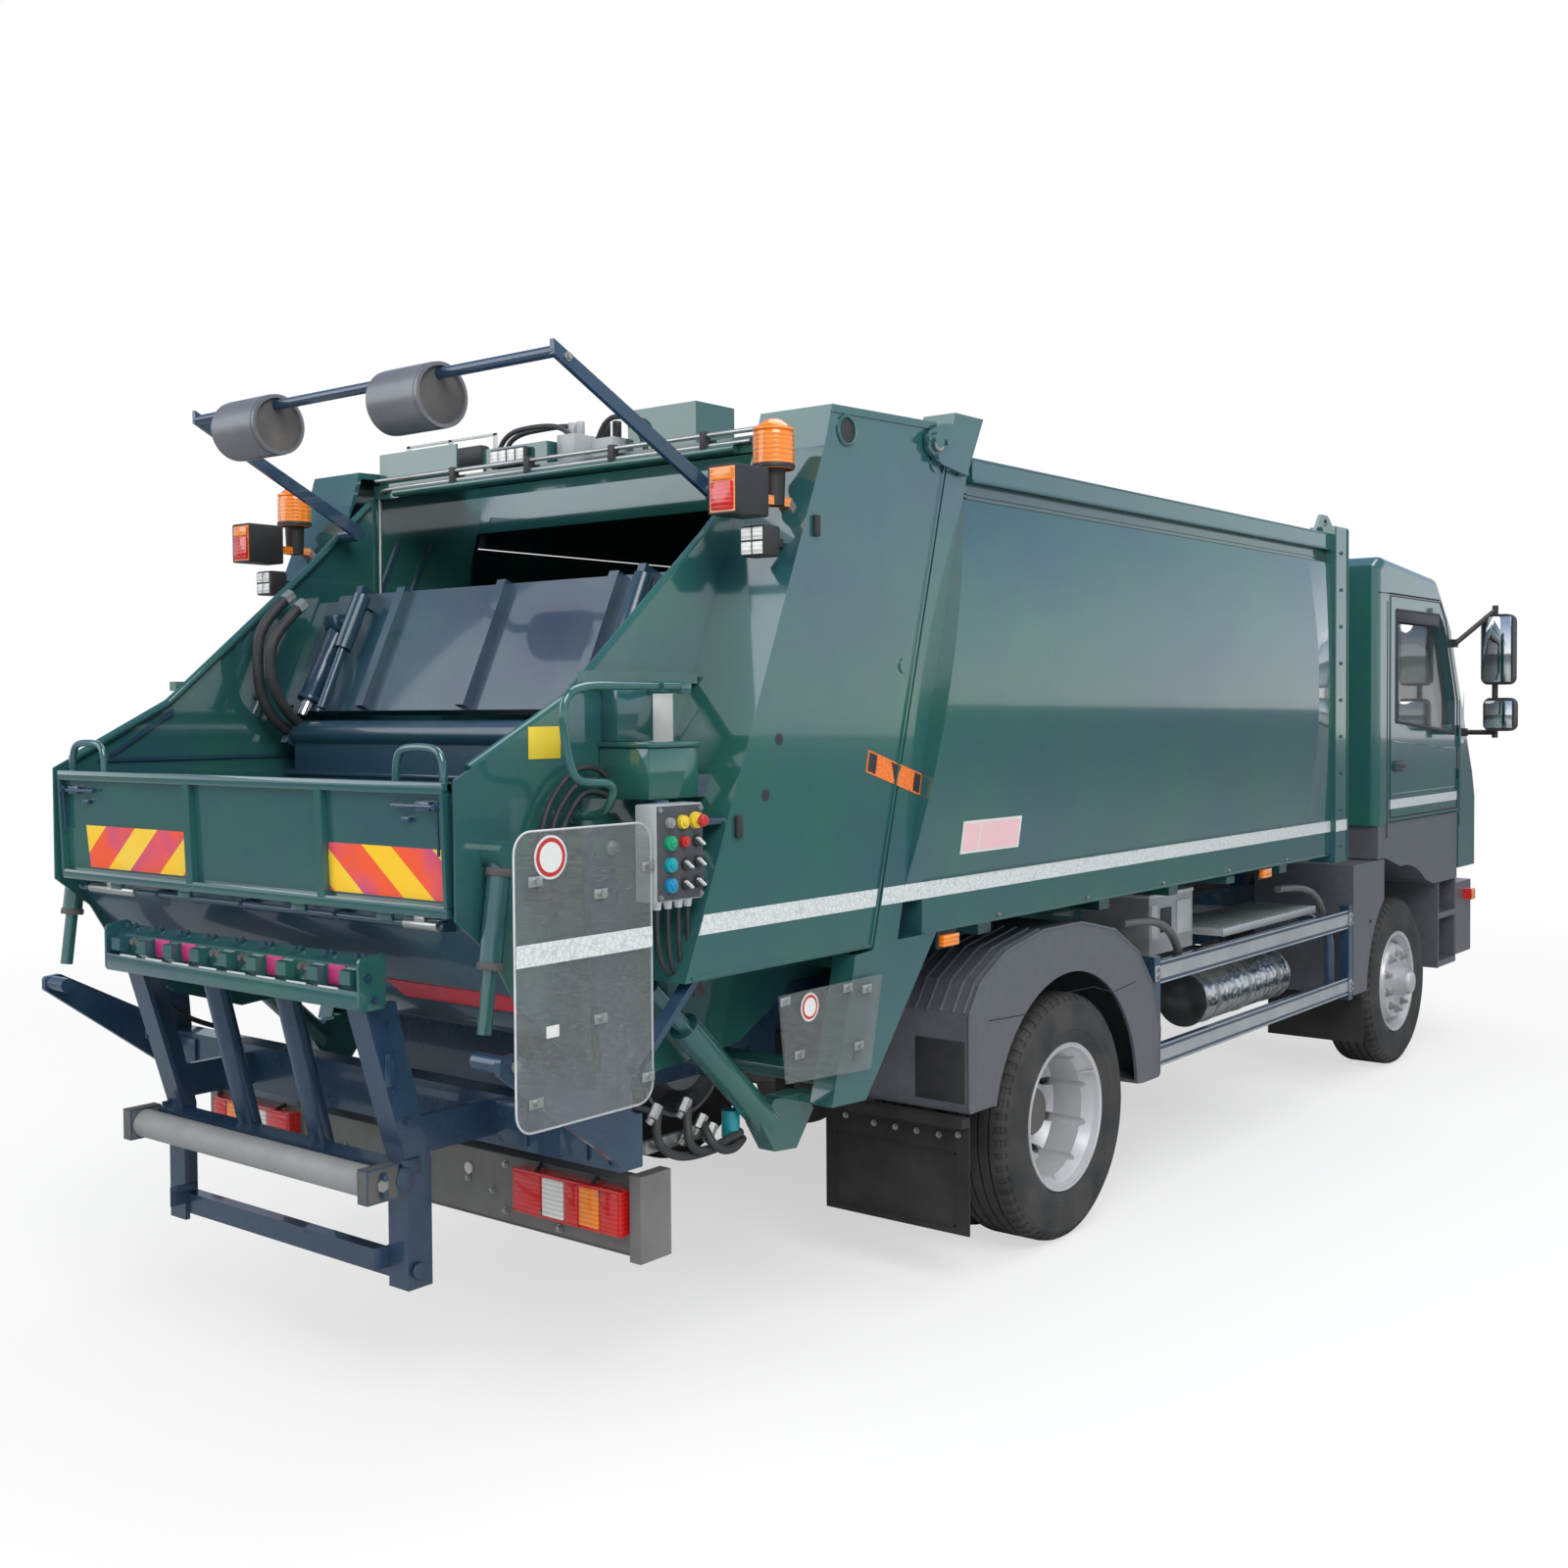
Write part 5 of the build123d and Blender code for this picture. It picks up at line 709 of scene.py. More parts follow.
# beacons: ribbed amber dome on a black stem, light cluster and a working light below
beacon = dict(x=-1.535, y=1.11, foot=2.44, base=2.556, ribs=6, pitch=0.0185)
x, y, base = beacon["x"], beacon["y"], beacon["base"]
makePiece("beaconStems", "tailgate", "blackPlastic", both, crease=40,
          posts=[(x, y, beacon["foot"], 2.548, 0.03, 24, 0, 0.034), (x, y, 2.540, base, 0.060, 36, 0.004)])
heights = [base + beacon["pitch"] * step for step in range(beacon["ribs"])]
makePiece("beaconDomes", "tailgate", "lensAmber", both, crease=40, posts=[
    (x, y, z, z + 0.0055, 0.0588, 40) for z in heights])
for name, finish, z0, z1 in (("clusterLensAmber", "lensAmber", 2.489, 2.522), ("clusterLensRed", "lensRed",
    2.409, 2.486)):
    makePiece(name, "tailgate", finish, both, crease=40, boxes=[(-1.762, -1.752, 1.072, 1.148, z0, z1, 0.004)])
casing = ((1.063, 1.157, 2.5255, 2.533, 0.003), (1.063, 1.157, 2.398, 2.405, 0.003),
          (1.1552, 1.160, 2.40, 2.53, 0.002),
          (1.060, 1.0648, 2.40, 2.53, 0.002))
makePiece("clusterHousing", "tailgate", "blackPlastic", both, crease=40, boxes=[
    (-1.757, -1.618, *row) for row in casing])
makePiece("workLights", "tailgate", "blackPlastic", both, crease=40, boxes=[
    (-1.655, -1.585, 1.085, 1.175, 2.29, 2.375, 0.008), (-1.60, -1.54, 1.11, 1.15, 2.32, 2.345, 0.003)])
makePiece("workLightLens", "tailgate", "lensWhite", both, crease=40, boxes=[
    (-1.6585, -1.6548, y, y + 0.034, z, z + 0.034, 0.001) for y in (1.093, 1.133) for z in (2.296, 2.335)])
print("lamps done")

# control box: its switches face sideways, a green cover and post stand behind it
panel = dict(x0=-2.130, x1=-1.952, inner=-1.133, face=-1.205, z0=1.388, z1=1.634)
x0, x1, z0, z1, face = panel["x0"], panel["x1"], panel["z0"], panel["z1"], panel["face"]
front = face - 0.003  # the switches stand on this plane
makePiece("controlCase", "tailgate", "boxGrey", replaced=["control_box"],
          boxes=[(x0, x1, face, panel["inner"], z0, z1, 0.005)])
makePiece("controlPanel", "tailgate", "panelGrey", boxes=[
    (x0 + 0.004, x1 - 0.004, front, face, z0 + 0.004, z1 - 0.004, 0.001)])
makePiece("panelScrews", "tailgate", "zincPlate", crease=25, axis=(0, -1, 0), bolts=[
    (x, front, z, 0.010) for x in (x0 + 0.013, x1 - 0.013) for z in (z0 + 0.013, z1 - 0.013)])
makePiece("controlHousing", "tailgate", "bodyGreen", boxes=[
    (-2.06, -1.87, -1.12, -0.9385, 1.64, 1.775, 0.006), (-2.065, -1.865, -1.125, -0.9385, 1.776, 1.7895, 0.002),
    (-2.05, -1.915, -1.0, -0.9385, 1.79, 1.944, 0.003)])
makePiece("controlBrackets", "tailgate", "frameBlue", boxes=[
    (-1.955, -1.72, -1.19, -1.085, 1.572, 1.588, 0.002), (-1.955, -1.76, -1.19, -1.085, 1.412, 1.428, 0.002),
    (-2.04, -2.0, -1.133, -1.06, 1.56, 1.64, 0.003)],
    plates=[([(-2.18, 0.96), (-1.93, 1.19), (-1.93, 1.215), (-2.18, 0.985)], -1.15, -1.19),
            ([(-1.90, 1.64), (-1.78, 1.64), (-1.756, 1.70), (-1.90, 1.70)], -1.02, -1.10)])
buttons = {
    "rollerGrey": ((-2.085, 1.588, 0.014),), "signYellow": ((-2.037, 1.588, 0.018), (-1.988, 1.590, 0.022)),
    "buttonGreen": ((-2.084, 1.537, 0.020),), "signRed": ((-2.032, 1.538, 0.015),),
    "buttonTeal": ((-2.084, 1.482, 0.020),), "buttonBlue": ((-2.083, 1.430, 0.020),)}
for finish, spots in buttons.items():
    makePiece(f"buttons_{finish}", "tailgate", finish,
              pins=[(x, z, front, front - 0.014, r, 24, 0.001, r * 0.92) for x, z, r in spots]
              + [(x, z, front - 0.014, front - 0.019, r * 0.6, 20, 0.001, r * 0.5) for x, z, r in spots])
makePiece("stopButton", "tailgate", "signRed", pins=[
    (-1.988, 1.590, front - 0.014, front - 0.028, 0.009, 20),
    (-1.988, 1.590, front - 0.026, front - 0.040, 0.018, 28, 0.003, 0.013)])
toggles = ((-1.980, 1.537), (-2.025, 1.480), (-1.977, 1.484), (-2.026, 1.429), (-1.978, 1.432))
makePiece("toggles", "tailgate", "blackPlastic", pins=[
    (x, z, front, front - 0.010, 0.016, 20, 0.001, 0.014) for x, z in toggles])
handles = [[(x - 0.014, z + 0.007), (x - 0.010, z + 0.011), (x + 0.014, z - 0.007), (x + 0.010, z - 0.011)]
           for x, z in toggles]
makePiece("toggleHandles", "tailgate", "lightGrey", plates=[
    (shape, front - 0.010, front - 0.020) for shape in handles])
glands = (-2.09, -2.05, -2.01, -1.975)
makePiece("controlGlands", "tailgate", "lightGrey", posts=[
    (x, -1.17, z0, z0 - 0.022, 0.013, 8, 0, 0.010) for x in glands])
addHoses("controlCables", "tailgate", "hoseBlack", 0.006, [
    [(x, -1.17, z0 - 0.015), (x, -1.17, 1.32), (x + 0.01, -1.165, 1.26 - 0.02 * step),
     (x + 0.05, -1.15, 1.20 - 0.02 * step),
     (-1.93 + 0.01 * step, -1.14, 1.17), (-1.91 + 0.01 * step, -1.14, 1.12)] for step, x in enumerate(glands)])
addHoses("sideHoses", "tailgate", "hoseBlack", 0.0075, [
    [(-2.30, -0.965, 1.40)] + routeAt(-0.972, [
        (-2.31, 1.52), (-2.28, 1.63), (-2.20, 1.715), (-2.12, 1.73), (-2.06, 1.70), (-2.03, 1.66)]),
    [(-2.27, -0.965, 1.40)] + routeAt(-0.978, [
        (-2.28, 1.52), (-2.255, 1.61), (-2.185, 1.685), (-2.12, 1.70), (-2.07, 1.67), (-2.045, 1.65)]),
    [(-2.24, -0.965, 1.40)] + routeAt(-0.978, [
        (-2.25, 1.50), (-2.23, 1.58), (-2.17, 1.655), (-2.12, 1.665), (-2.07, 1.65), (-2.05, 1.645)])])
makePiece("sideHoseClamp", "tailgate", "blackPlastic", boxes=[(-2.325, -2.22, -0.99, -0.9385, 1.395, 1.415, 0.003)])

# clear guards on the right: blank round signs with a red ring, clamp clips and a white stripe
guards = dict(
    clearGuard=("tailgate", 1.198, (-2.481, 1.530, 0.046),
                ((-2.53, 1.477), (-2.153, 1.484), (-2.158, 0.958), (-2.535, 0.961), (-2.318, 1.43), (-2.322, 1.128))),
    legGuard=("chassis", 1.222, (-1.53, 1.045, 0.034),
              ((-1.64, 1.075), (-1.354, 1.075), (-1.26, 1.06), (-1.579, 0.92), (-1.30, 0.90))))
for name, (body, y, (x, z, radius), clips) in guards.items():
    makePiece(name + "Clips", body, "zincPlate", (-1,), crease=25, bolts=[(a, y + 0.003, b, 0.015) for a, b in clips],
              boxes=[(a - 0.022, a + 0.022, y - 0.0002, y + 0.003, b - 0.012, b + 0.012, 0.001) for a, b in clips])
    makePiece(name + "SignRing", body, "signRed", (-1,), pins=[(x, z, y, y + 0.0012, radius, 40)])
    makePiece(name + "SignFace", body, "signWhite", (-1,), pins=[(x, z, y + 0.0012, y + 0.0018, radius * 0.78, 40)])
    makePiece(name + "SignEdge", body, "lightGrey", (-1,), pins=[(x, z, y - 0.0002, y + 0.0008, radius + 0.006, 40)])
makePiece("guardStripe", "tailgate", "tapeSilver", crease=40,
          boxes=[(-2.592, -2.138, -1.1996, -1.1981, 1.281, 1.333)])
sheet = dict(x0=-2.5922, x1=-2.136, z0=0.893, z1=1.593, corner=0.05, y0=-1.190, y1=-1.198)
corner = sheet["corner"]
outline = []
for cx, cz, start in (("x1", "z1", 0), ("x0", "z1", 90), ("x0", "z0", 180), ("x1", "z0", 270)):
    middleX = sheet[cx] + (corner if cx == "x0" else -corner)
    middleZ = sheet[cz] + (corner if cz == "z0" else -corner)
    for turn in (radians(start + 15 * step) for step in range(7)):
        outline.append((middleX + cos(turn) * corner, middleZ + sin(turn) * corner))
makePiece("guardSheet", "tailgate", "clearSheet", replaced=["clear_guard"],
          plates=[(outline, sheet["y0"], sheet["y1"])])
makePiece("guardEdges", "tailgate", "lightGrey", crease=60, rods=bead(outline + outline[:1], -1.194, 0.0028, 6))
makePiece("guardSmallPlate", "tailgate", "signWhite", crease=40,
          boxes=[(-2.50, -2.46, -1.1992, -1.1981, 1.107, 1.135)])

# right side plate of the hopper: blank yellow and white plates and a bent grab rail
for name, finish, x0, x1, z0, z1 in (("yellowPlate", "signYellow", -2.308, -2.198, 1.75, 1.832),
                                     ("whitePlate", "signWhite", -1.902, -1.772, 1.748, 1.931)):
    makePiece(name, "tailgate", finish, crease=40, boxes=[(x0, x1, -0.9402, -0.9383, z0, z1, 0.001)])
addHoses("grabRail", "tailgate", "bodyGreen", 0.0115, [routeAt(-1.10, [
    (-2.003, 1.934), (-2.15, 1.934), (-2.27, 1.934), (-2.335, 1.91), (-2.345, 1.85), (-2.325, 1.745), (-2.30, 1.70),
    (-2.25, 1.692), (-2.167, 1.690)]) + [(-2.166, -1.085, 1.63), (-2.16, -1.03, 1.60), (-2.16, -0.94, 1.60)]])
makePiece("grabRailFeet", "tailgate", "bodyGreen", boxes=[(-1.94, -1.90, -1.125, -0.938, 1.915, 1.9445, 0.003)],
          rods=[((-2.16, -0.952, 1.60), (-2.16, -0.938, 1.60), 0.022, 24, 0.002),
          ((-2.005, -1.11, 1.934), (-1.93, -1.11, 1.934), 0.0125, 20)])
print("controls and guards done")

# tailgate head: pipes, valve block, work lamps and hose loops above the mouth
roofZ = 2.6905
strips = ((0.455, 0.95, 2.6902, 2.706), (0.455, 0.95, 2.846, 2.856), (0.455, 0.475, 2.69, 2.856),
          (0.93, 0.95, 2.69, 2.856),
          (0.695, 0.715, 2.69, 2.856))
makePiece("topBracket", "tailgate", "lightGrey", boxes=[(-1.155, -1.15, *row, 0.001) for row in strips])
makePiece("topLamps", "tailgate", "blackPlastic", boxes=[
    (-1.19, -1.145, 0.50, 0.67, 2.735, 2.815, 0.01), (-1.19, -1.145, 0.74, 0.90, 2.735, 2.815, 0.01),
    (-1.275, -1.252, 0.18, 0.36, 2.705, 2.77, 0.008)])
makePiece("topLampLens", "tailgate", "lensWhite", crease=40, boxes=[
    (-1.279, -1.274, y, y + 0.036, 2.712, 2.763, 0.002) for y in (0.188, 0.232, 0.276, 0.316)])
makePiece("valveBlock", "tailgate", "boxGrey", posts=[
    (-1.17, y, 2.80, 2.845, 0.014, 16, 0.002) for y in (0.02, 0.06)],
          boxes=[(-1.22, -1.10, 0.0, 0.085, roofZ, 2.80, 0.004), (-1.20, -1.12, -0.16, -0.06, roofZ, 2.775, 0.004)])
makePiece("valveCaps", "tailgate", "blackPlastic", posts=[
    (-1.16, y, 2.775, 2.83, 0.015, 16, 0.002) for y in (-0.14, -0.09)])
addHoses("topHoses", "tailgate", "hoseBlack", 0.009, [
    [(-1.19, 0.42, 2.715), (-1.20, 0.40, 2.78), (-1.21, 0.33, 2.835), (-1.21, 0.21, 2.843), (-1.20, 0.09, 2.835),
     (-1.20, 0.03, 2.79), (-1.20, 0.02, 2.755)],
    [(-1.14, 0.44, 2.715), (-1.14, 0.43, 2.80), (-1.14, 0.36, 2.842), (-1.14, 0.22, 2.846), (-1.14, 0.10, 2.845),
     (-1.15, 0.05, 2.82), (-1.15, 0.05, 2.79)],
    [(-1.19, -0.08, 2.77), (-1.20, -0.12, 2.83), (-1.20, -0.20, 2.84), (-1.18, -0.26, 2.80), (-1.17, -0.28, 2.72)]])
addHoses("mouthPipes", "tailgate", "zincPlate", 0.0075, [
    [(-1.31, 0.915, 2.10), (-1.31, 0.915, 2.40), (-1.308, 0.915, 2.62), (-1.318, 0.90, 2.66)]
    + [(-1.332, y, 2.672) for y in (0.86, 0.5, 0.0, -0.6, -0.86)],
    [(-1.335, y, 2.704) for y in (0.9, 0.5, 0.0, -0.5, -0.9)]])
makePiece("pipeClamps", "tailgate", "blackPlastic", boxes=[
    (-1.347, -1.320, y - 0.013, y + 0.013, 2.66, 2.716, 0.003) for y in (0.476, -0.29, 0.10, -0.68)])
makePiece("hoodEdge", "tailgate", "bodyGreen", pins=[(-1.300, roofZ, -0.90, 0.90, 0.004, 10)],
          boxes=[(-1.14, -1.0, -0.47, -0.19, 2.8585, 2.8595)])

# lid opener: drum skins with rolled ends, a dark disc in each bore as painted shade in the hollow, and end bolts
drum = dict(x=-2.094, z=2.757, bore=0.080, skin=0.0922, steps=56, left=(0.405, 0.600), right=(-0.360, -0.165))
drumEnd = [(0.0, 0.092), (-0.014, 0.092), (-0.014, 0.0815), (-0.0004, 0.079), (0.0, 0.079), (0.0, 0.092)]
for name in ("left", "right"):
    (y0, y1), x, z, inner = drum[name], drum["x"], drum["z"], drum["skin"]
    far = y1 - y0 - 0.0005
    skin = [(0.0005, inner), (0.0005, inner + 0.001), (far, inner + 0.001), (far, inner), (0.0005, inner)]
    bm = bmesh.new()
    for profile, y, way in ((drumEnd, y0, 1), (drumEnd, y1, -1), (skin, y0, 1)):
        addTurned(bm, profile, (x, y, z), (0, way, 0), drum["steps"])
    finishPiece(f"drumSkin_{name}", bm, "lid_opener", "drumGrey", 30)
    # dark disc at the bottom of each rolled end: painted shade inside the hollow drum
    makePiece(f"drumBoreShade_{name}", "lid_opener", "castGrey", pins=[
        (x, z, y0 - 0.0008, y0, drum["bore"], 48), (x, z, y1, y1 + 0.0008, drum["bore"], 48)])
makePiece("openerBolts", "lid_opener", "zincPlate", both, crease=25, bolts=[(-2.06, 0.8385, 2.807, 0.018),
    (-1.49, 0.8385, 2.515, 0.022)])
print("tailgate head done")

# hoses inside the left wall of the hopper
addHoses("hopperHoses", "packer_slide", "hoseBlack", 0.0185, [
    routeAt(0.85, [(-1.765, 2.252), (-1.86, 2.17), (-1.875, 2.05), (-1.862, 1.92), (-1.80, 1.83), (-1.71, 1.79)])
    + [(-1.623, 0.86, 1.78)],
    routeAt(0.80, [(-1.749, 2.221), (-1.845, 2.13), (-1.858, 2.05), (-1.848, 1.955), (-1.79, 1.865)])
    + [(-1.70, 0.82, 1.81), (-1.623, 0.84, 1.796)]])
makePiece("hoseFittings", "packer_slide", "zincPlate", crease=25, rods=[
    ((-1.765, 0.85, 2.252), (-1.735, 0.85, 2.275), 0.022, 6), ((-1.749, 0.80, 2.221), (-1.72, 0.80, 2.244), 0.022, 6),
    ((-1.623, 0.86, 1.78), (-1.585, 0.865, 1.777), 0.022, 6)])

# red reflectors at the tub's edge, and hinge pins
makePiece("tubReflectors", "tailgate", "tapeRed", both, crease=40, plates=[
    ([(-2.236, 1.090), (-2.304, 1.146), (-2.3065, 1.144), (-2.2385, 1.088)], 0.361, 0.886)])
makePiece("hingePins", "tailgate", "zincPlate", both, crease=25,
          pins=[(-0.88, 2.68, 1.225, 1.2335, 0.024, 28, 0.002)])
print("hopper done")

# mudguards: seams, flutes over the rear, recessed rear panel and bolts
fender = dict(outer=1.1885, inner=0.615, flutes=(0.933, 0.98, 1.026, 1.076, 1.125, 1.166))
arch = [(0.50, 0.847), (0.315, 0.832), (0.169, 0.871), (-0.016, 0.877), (-0.193, 0.835), (-0.536, 0.854)]
outline = [(0.69, 0.46), (0.70, 0.64), (0.64, 0.815), (0.52, 0.955), (0.33, 1.06), (0.08, 1.112), (-0.18, 1.112),
           (-0.42, 1.07), (-0.585, 0.985), (-0.655, 0.89), (-0.655, 0.58)]
crown = [(x, z + 0.001) for x, z in outline[6:10]]
makePiece("fenderEdges", "chassis", "greyPlastic", both,
          rods=bead(outline, fender["outer"], 0.0055) + bead(outline, fender["inner"], 0.005))
makePiece("fenderSeams", "chassis", "shadowGap", both, rods=bead(arch, 1.1902, 0.0016, 6))
makePiece("fenderFlutes", "chassis", "greyPlastic", both, rods=[
    row for y in fender["flutes"] for row in bead(crown, y, 0.0055)])
makePiece("fenderRearPanel", "chassis", "blackPlastic", both,
          boxes=[(-0.6575, -0.6545, 0.98, 1.17, 0.60, 0.80, 0.001)])
makePiece("fenderBolts", "chassis", "zincPlate", both, crease=25, axis=rearward,
          bolts=[(-0.6625, y, 0.49, 0.015) for y in (0.817, 0.904, 0.989, 1.076)] + [
          (-0.6625, y, 0.50, 0.015) for y in (0.70, 1.15)])
field = ((0.66, 1.14, 0.20, 0.206), (0.66, 0.666, 0.20, 0.44), (1.134, 1.14, 0.20, 0.44), (0.66, 1.14, 0.434, 0.44))
makePiece("flapBlankField", "chassis", "blackRubber", both, boxes=[(-0.6645, -0.6618, *row) for row in field])
makePiece("wheelArchBolts", "cab", "blackPlastic", both, crease=25,
          bolts=[(x, 1.142, z, 0.014) for x, z in ((3.12, 0.80), (4.20, 0.86), (3.66, 1.0))])

# service bay: deck treads, cabinet, silencer straps, side guards, tank and battery trim, pipes
treads = [(x, x + 0.025, -1.1, -0.80, 0.9352, 0.9385, 0.001) for x in (1.46 + 0.06 * step for step in range(17))]
makePiece("deckTreads", "chassis", "aluminium", boxes=treads + [(1.447, 2.481, -1.1125, -1.109, 0.903, 0.937, 0.001)])
makePiece("cabinetWindow", "chassis", "blackPlastic", crease=40,
          boxes=[(1.09, 1.19, -1.0022, -1.0, 0.95, 1.05, 0.001)])
makePiece("cabinetLid", "chassis", "lightGrey", boxes=[
    (0.985, 1.395, -1.005, -0.695, 1.098, 1.113, 0.003), (1.005, 1.06, -1.0035, -1.0, 0.93, 1.07, 0.001),
    (1.24, 1.37, -1.0035, -1.0, 0.93, 1.07, 0.001)])
for name, finish, radius, *rest in (("Straps", "zincPlate", 0.1175, 48), ("Rims", "brightSteel", 0.1185, 48, 0.002)):
    spans = ((1.62, 1.65), (1.95, 1.98), (2.28, 2.31)) if name == "Straps" else ((1.497, 1.507), (2.408, 2.418))
    makePiece("silencer" + name, "chassis", finish, rods=[
        ((x0, -0.9, 0.61), (x1, -0.9, 0.61), radius, *rest) for x0, x1 in spans])
rails = dict(ends=(0.73, 2.795), x0=0.745, x1=2.78, face=1.1605)
makePiece("guardPosts", "chassis", "aluminium", both, boxes=[
    (x - 0.02, x + 0.02, rails["face"], 1.1665, z - 0.03, z + 0.03, 0.001) for x in rails["ends"]
    for z in (0.522, 0.845)])
makePiece("guardEdgeRails", "chassis", "aluminium", both,
          rods=[((rails["x0"], rails["face"], z), (rails["x1"], rails["face"], z), 0.003, 8)
                for z in (0.485, 0.560, 0.805, 0.885)],
          boxes=[(rails["x0"], rails["x1"], 1.1602, 1.1618, z, z + rise) for z,
                 rise in ((0.50, 0.045), (0.82, 0.05))])
makePiece("guardBolts", "chassis", "zincPlate", both, crease=25,
          bolts=[(x, 1.1665, z, 0.016) for x in rails["ends"] for z in (0.51, 0.535, 0.83, 0.86)])
makePiece("tankStraps", "chassis", "darkSteel", boxes=[
    (x, x + 0.035, 1.1002, 1.104, 0.48, 0.96, 0.001) for x in (1.12, 1.70)])
makePiece("tankCap", "chassis", "blackPlastic", posts=[(1.42, 0.98, 0.968, 1.0, 0.05, 32, 0.004)])
makePiece("batteryLid", "chassis", "blackPlastic", boxes=[(2.058, 2.523, 0.638, 1.093, 0.895, 0.912, 0.004)])
addHoses("bayPipes", "chassis", "darkSteel", 0.017, [
    routeAt(-1.10, [(0.56, 1.05), (0.75, 1.048), (0.92, 1.01), (1.02, 0.94), (1.045, 0.89)]),
    routeAt(-1.10, [(2.06, 1.05), (2.25, 1.045), (2.45, 1.01), (2.57, 0.94), (2.60, 0.89)])])
addHoses("bayHoses", "chassis", "signRed", 0.012, [
    [(1.55, -0.70, 0.95), (1.65, -0.66, 0.98), (1.78, -0.62, 0.96), (1.92, -0.60, 0.98), (2.10, -0.60, 0.96)],
    [(1.55, -0.74, 0.95), (1.66, -0.72, 1.0), (1.80, -0.70, 0.99), (1.95, -0.66, 1.0), (2.10, -0.64, 0.97)]])
makePiece("bayFilter", "chassis", "lightGrey", posts=[(1.82, -0.66, 0.936, 1.06, 0.055, 32, 0.01)])
makePiece("railRivets", "chassis", "zincPlate", both, crease=25, bolts=[
    (x, 1.2046, 1.20, 0.010) for x in (-0.5, 0.1, 0.7, 1.3, 1.9)])
print("chassis details done")

# cab: door seams and handles, window frames, lamps, grille mesh, wipers and mirror glass
doorLine = [(3.385, 1.30), (3.385, 2.43), (4.17, 2.43), (4.27, 2.33), (4.475, 1.90), (4.475, 1.30), (3.385, 1.30)]
windowLine = [(3.48, 1.79), (4.41, 1.72), (4.41, 1.905), (4.235, 2.285), (4.145, 2.36), (3.48, 2.36), (3.48, 1.79)]
door = "cab_door_{}"
makePair("doorSeams", door, "shadowGap", rods=bead(doorLine, 1.1503, 0.003, 6))
makePair("windowFrames", door, "blackPlastic", rods=bead(windowLine, 1.149, 0.010))
makePair("windowDeflector", door, "blackPlastic", boxes=[(3.48, 4.14, 1.1535, 1.157, 2.30, 2.362, 0.001)])
makePair("doorHandles", door, "blackPlastic", boxes=[
    (3.42, 3.58, 1.150, 1.1525, 1.535, 1.592, 0.001), (3.435, 3.565, 1.157, 1.169, 1.548, 1.577, 0.004)])
makePair("doorPress", door, "bodyGreen",
         rods=bead([(3.40, 1.69), (4.45, 1.63)], doorY, 0.004) + bead([(3.40, 1.42), (4.45, 1.42)], doorY, 0.003))
makePiece("cabCorners", "cab", "lightGrey", both, plates=[
    ([(4.53, 1.66), (4.60, 1.66), (4.60, 1.95)], doorY, 1.1515)])
seams = ([(3.34, 1.20), (3.34, 2.40)], [(4.52, 1.20), (4.52, 1.90)], [(3.22, 2.44), (4.15, 2.44)])
makePiece("cabSideLines", "cab", "shadowGap", both, rods=[row for seam in seams for row in bead(seam, doorY,
    0.0025, 6)])
makePiece("mirrorGlass", "cab", "mirrorGlass", both, boxes=[
    (4.5175, 4.5205, 1.275, 1.425, 2.0, 2.36, 0.001), (4.5175, 4.5205, 1.288, 1.432, 1.745, 1.895, 0.001)])
makePiece("frontLampLens", "chassis", "lensWhite", both, boxes=[
    (4.8615, 4.8655, y0, y1, 0.605, 0.745, 0.001) for y0, y1 in ((0.775, 0.90), (0.915, 1.045))])
makePiece("frontFogLens", "chassis", "lensWhite", both, rods=[
    ((4.845, 0.55, 0.56), (4.8652, 0.55, 0.56), 0.045, 32, 0.003)])
makePiece("frontIndicators", "chassis", "lensAmber", both, boxes=[(4.638, 4.702, 1.1855, 1.188, 0.772, 0.828, 0.001)])
makePiece("wipers", "cab", "blackPlastic",
          rods=[((4.775, y0, 1.60), (4.772, y1, 1.66), 0.008, 10) for y0, y1 in ((-0.75, -0.10), (0.05, 0.72))]
          + [((4.775, y, 1.60), (4.785, y, 1.57), 0.018, 16) for y in (-0.75, 0.05)])
makePiece("frontPlate", "chassis", "signWhite", crease=40, boxes=[(4.8625, 4.8655, -0.26, 0.26, 0.64, 0.75, 0.001)])
makePiece("grilleBands", "cab", "darkSteel", boxes=[
    (4.8642, 4.8662, -0.695, 0.695, z + 0.018, z + 0.026) for z in (1.01, 1.09, 1.17, 1.25)])
makePiece("bumperSlots", "chassis", "shadowGap", both, boxes=[
    (4.8625, 4.8648, 0.30, 0.68, z, z + 0.018) for z in (0.66, 0.69, 0.72)])
print("cab done")

# floor: white for the camera far away, mid grey in reflections, and shaded under the truck
mesh = bpy.data.meshes.new("floor")
bm = bmesh.new()
bmesh.ops.create_grid(bm, x_segments=1, y_segments=1, size=90)
bm.to_mesh(mesh)
bm.free()
floor = bpy.data.objects.new("floor", mesh)
bpy.context.scene.collection.objects.link(floor)
floorLook = dict(near=0.70, fade=0.05, start=3.5, reflected=0.38)
made = Finish("floorPaper")
path = made.tree.nodes.new("ShaderNodeLightPath")
pale = (made.here.noise(0.6) * 0.3).clamped().blend((0.86, 0.86, 0.86), (0.84, 0.84, 0.84))
tone = floorLook["reflected"]
reflected = Signal(made.tree, path.outputs["Is Glossy Ray"])
made.paint(reflected.blend(pale, (tone * 0.92, tone * 0.98, tone)), 0.9)
glow = made.tree.nodes.new("ShaderNodeEmission")
glow.inputs["Color"].default_value = (1, 1, 1, 1)
square = made.x * made.x + made.y * made.y
away = square.math("SQRT", square)
share = (floorLook["near"] + (away - floorLook["start"]) * floorLook["fade"]).clamped()
share = share * Signal(made.tree, path.outputs["Is Camera Ray"])
mixed = made.tree.nodes.new("ShaderNodeMixShader")
